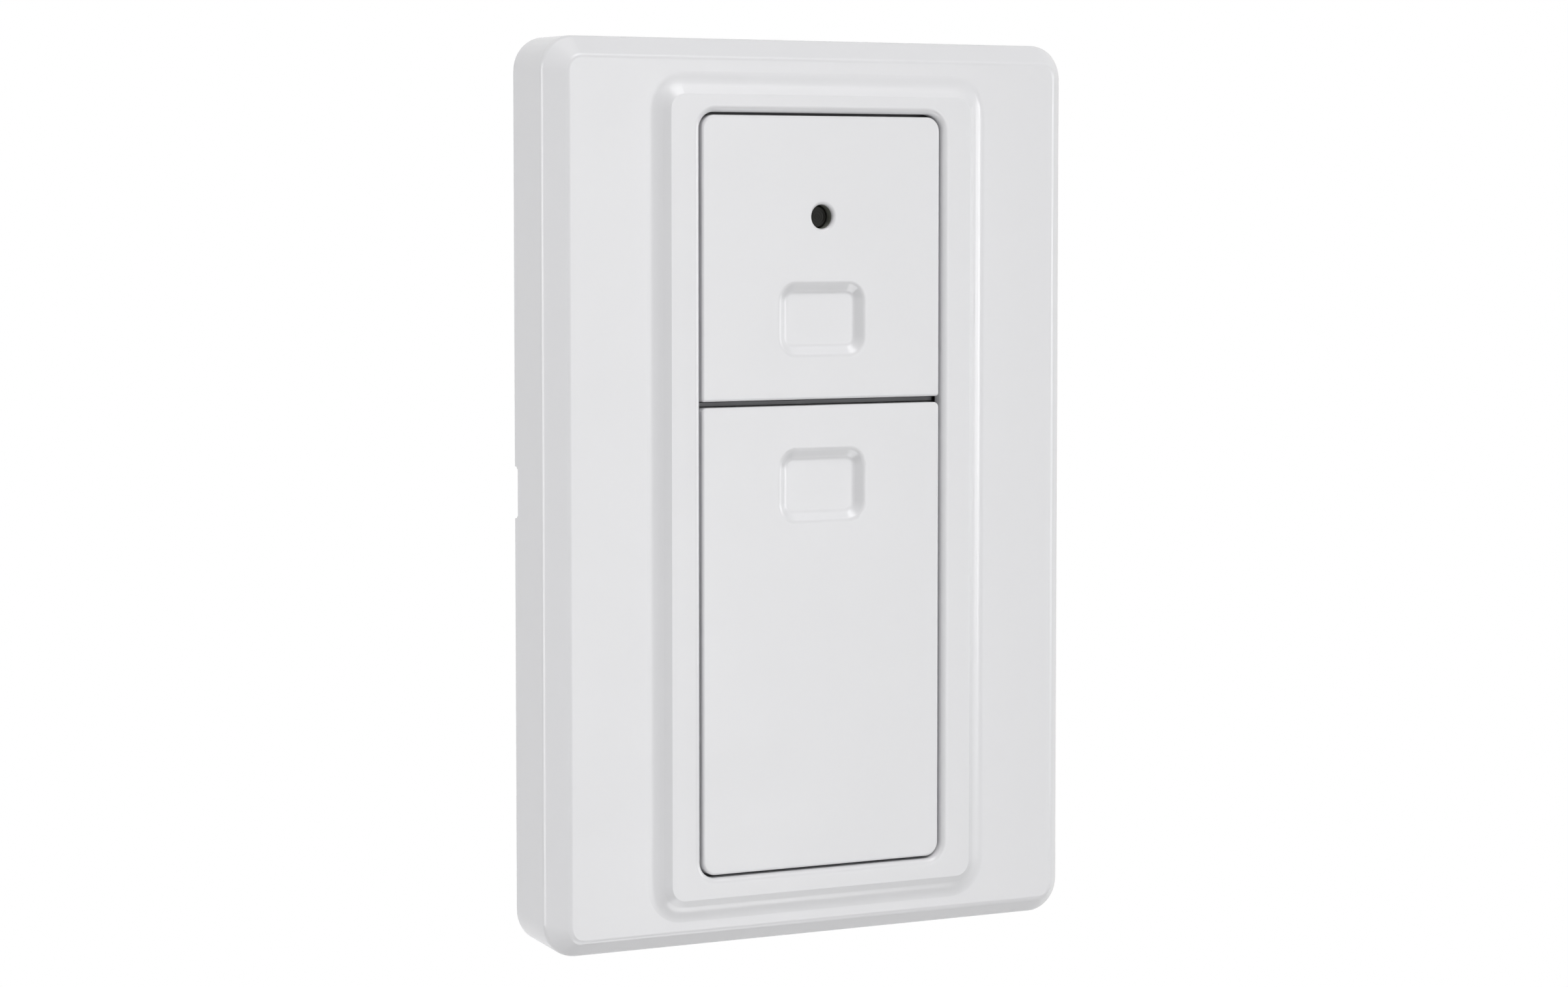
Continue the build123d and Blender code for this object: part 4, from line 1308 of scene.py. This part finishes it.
@dataclass
class Studio:
    """Floor, lamps, world and camera."""

    floor_level: float = -0.8
    floor_reach: float = 12.0
    floor_pale: float = 0.8
    floor_roughness: float = 0.9
    fade_share: float = 0.35
    fade_start: float = 0.15
    fade_end: float = 0.7
    camera_place: Triple = (-0.28129, -0.48775, 0.03757)
    camera_yaw: float = 30.036
    camera_pitch: float = 3.911
    lens: float = 95.33
    sensor: float = 36.0
    nearest: float = 0.01
    air: float = 0.2

    def build(self) -> None:
        """Makes the whole studio."""
        self.make_floor()
        self.make_world()
        self.make_lamps()
        self.make_camera()

    def make_floor(self) -> None:
        """A pale floor that turns to plain white away from the object."""
        bpy.ops.mesh.primitive_plane_add(size=self.floor_reach,
                                         location=(0.0, 0.0, self.floor_level))
        floor = bpy.context.object
        floor.name = "floor"
        material = bpy.data.materials.new("floor_white")
        graph = Graph(material)
        graph.feed(Base_Color=(self.floor_pale,) * 3, Roughness=self.floor_roughness)
        glow = graph.node("ShaderNodeEmission", "Emission", {"Color": (1.0, 1.0, 1.0)})
        fade = graph.span(graph.away(), self.fade_share, 1.0, self.fade_start, self.fade_end)
        share = graph.maths("MULTIPLY", graph.seen(), fade)
        inputs = {"Fac": share, 1: graph.shader.outputs["BSDF"], 2: glow}
        cover = graph.node("ShaderNodeMixShader", "Shader", inputs)
        graph.fill(graph.nodes["Material Output"].inputs["Surface"], cover)
        floor.data.materials.append(material)
        LOG.info("laid the floor")

    def make_world(self) -> None:
        """White to the camera and to reflections, a softer plain light to the object."""
        world = bpy.data.worlds.new("studio_air")
        bpy.context.scene.world = world
        graph = Graph(world, "Background")
        strength = graph.span(graph.seen(), self.air, 1.0, 0.0, 1.0)
        graph.feed(Color=(1.0, 1.0, 1.0), Strength=strength)

    def lamp(self, name: str, azimuth: float, elevation: float, size: Spot, glow: float,
             shine: Shine = Shine.BOTH, distance: float = 3.0) -> None:
        """Hangs a soft rectangular lamp that faces the object.

        Args:
            name: The lamp's name.
            azimuth: Degrees to the right of straight in front.
            elevation: Degrees above level.
            size: Width and height in metres.
            glow: Its brightness, where 1 is a white wall.
            shine: Whether it lights surfaces, shows in their gloss, or both.
            distance: Metres from the object.
        """
        light = bpy.data.lights.new(name, "AREA")
        light.shape = "RECTANGLE"
        light.size, light.size_y = size
        light.energy = glow * math.pi * size[0] * size[1]
        holder = bpy.data.objects.new(name, light)
        bpy.context.collection.objects.link(holder)
        turn, lift = math.radians(azimuth), math.radians(elevation)
        away = distance * math.cos(lift)
        holder.location = (away * math.sin(turn), -away * math.cos(turn), distance * math.sin(lift))
        holder.rotation_euler = (-holder.location).to_track_quat("-Z", "Y").to_euler()
        holder.visible_diffuse = shine is not Shine.GLOSS
        holder.visible_glossy = shine is not Shine.SOFT
        holder.visible_camera = False
        LOG.info("hung %s", name)

    def make_lamps(self) -> None:
        """Soft lamps all round, and strips that show only in the gloss of surfaces."""
        self.lamp("front_lamp", 20.0, -6.0, (1.4, 2.2), 2.68)
        self.lamp("high_lamp", 8.0, 50.0, (1.8, 1.8), 4.65, Shine.SOFT)
        self.lamp("top_lamp", 0.0, 85.0, (2.0, 2.0), 0.8)
        self.lamp("left_lamp", -100.0, 0.0, (1.4, 1.8), 4.6)
        self.lamp("back_lamp", 180.0, 0.0, (1.8, 1.8), 2.6, Shine.SOFT)
        self.lamp("right_strip", 60.0, 2.0, (0.5, 0.9), 8.4, Shine.GLOSS)
        self.lamp("side_strip", 77.0, 2.0, (0.6, 0.9), 4.0, Shine.GLOSS)
        self.lamp("left_strip", -82.0, 0.0, (0.9, 1.8), 0.8, Shine.GLOSS)
        self.lamp("upper_strip", 25.0, 60.0, (1.8, 1.0), 3.0, Shine.GLOSS)
        self.lamp("lower_strip", 20.0, -62.0, (0.6, 0.25), 3.5, Shine.GLOSS, 0.75)

    def make_camera(self) -> None:
        """The camera at the photograph's viewing angle."""
        data = bpy.data.cameras.new("camera")
        data.lens = self.lens
        data.sensor_width = self.sensor
        data.clip_start = self.nearest
        holder = bpy.data.objects.new("camera", data)
        bpy.context.collection.objects.link(holder)
        holder.location = self.camera_place
        pitch, yaw = math.radians(90.0 - self.camera_pitch), math.radians(-self.camera_yaw)
        holder.rotation_euler = (pitch, 0.0, yaw)
        bpy.context.scene.camera = holder
        bpy.context.scene.view_settings.view_transform = "Standard"


def main() -> None:
    """Builds every sub-assembly in order, then the studio."""
    logging.basicConfig(level=logging.INFO, format="%(name)s: %(message)s")
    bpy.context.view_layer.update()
    for assembly in (WallPlate(), FrontShell(), Keys(), Carrier(), CircuitBoard(), PushSwitches(),
                     IndicatorLamp(), CoinCell(), BoardParts(), LearnSwitch(), Studio()):
        LOG.info("building %s", type(assembly).__name__)
        assembly.build()


if __name__ == "__main__":
    main()
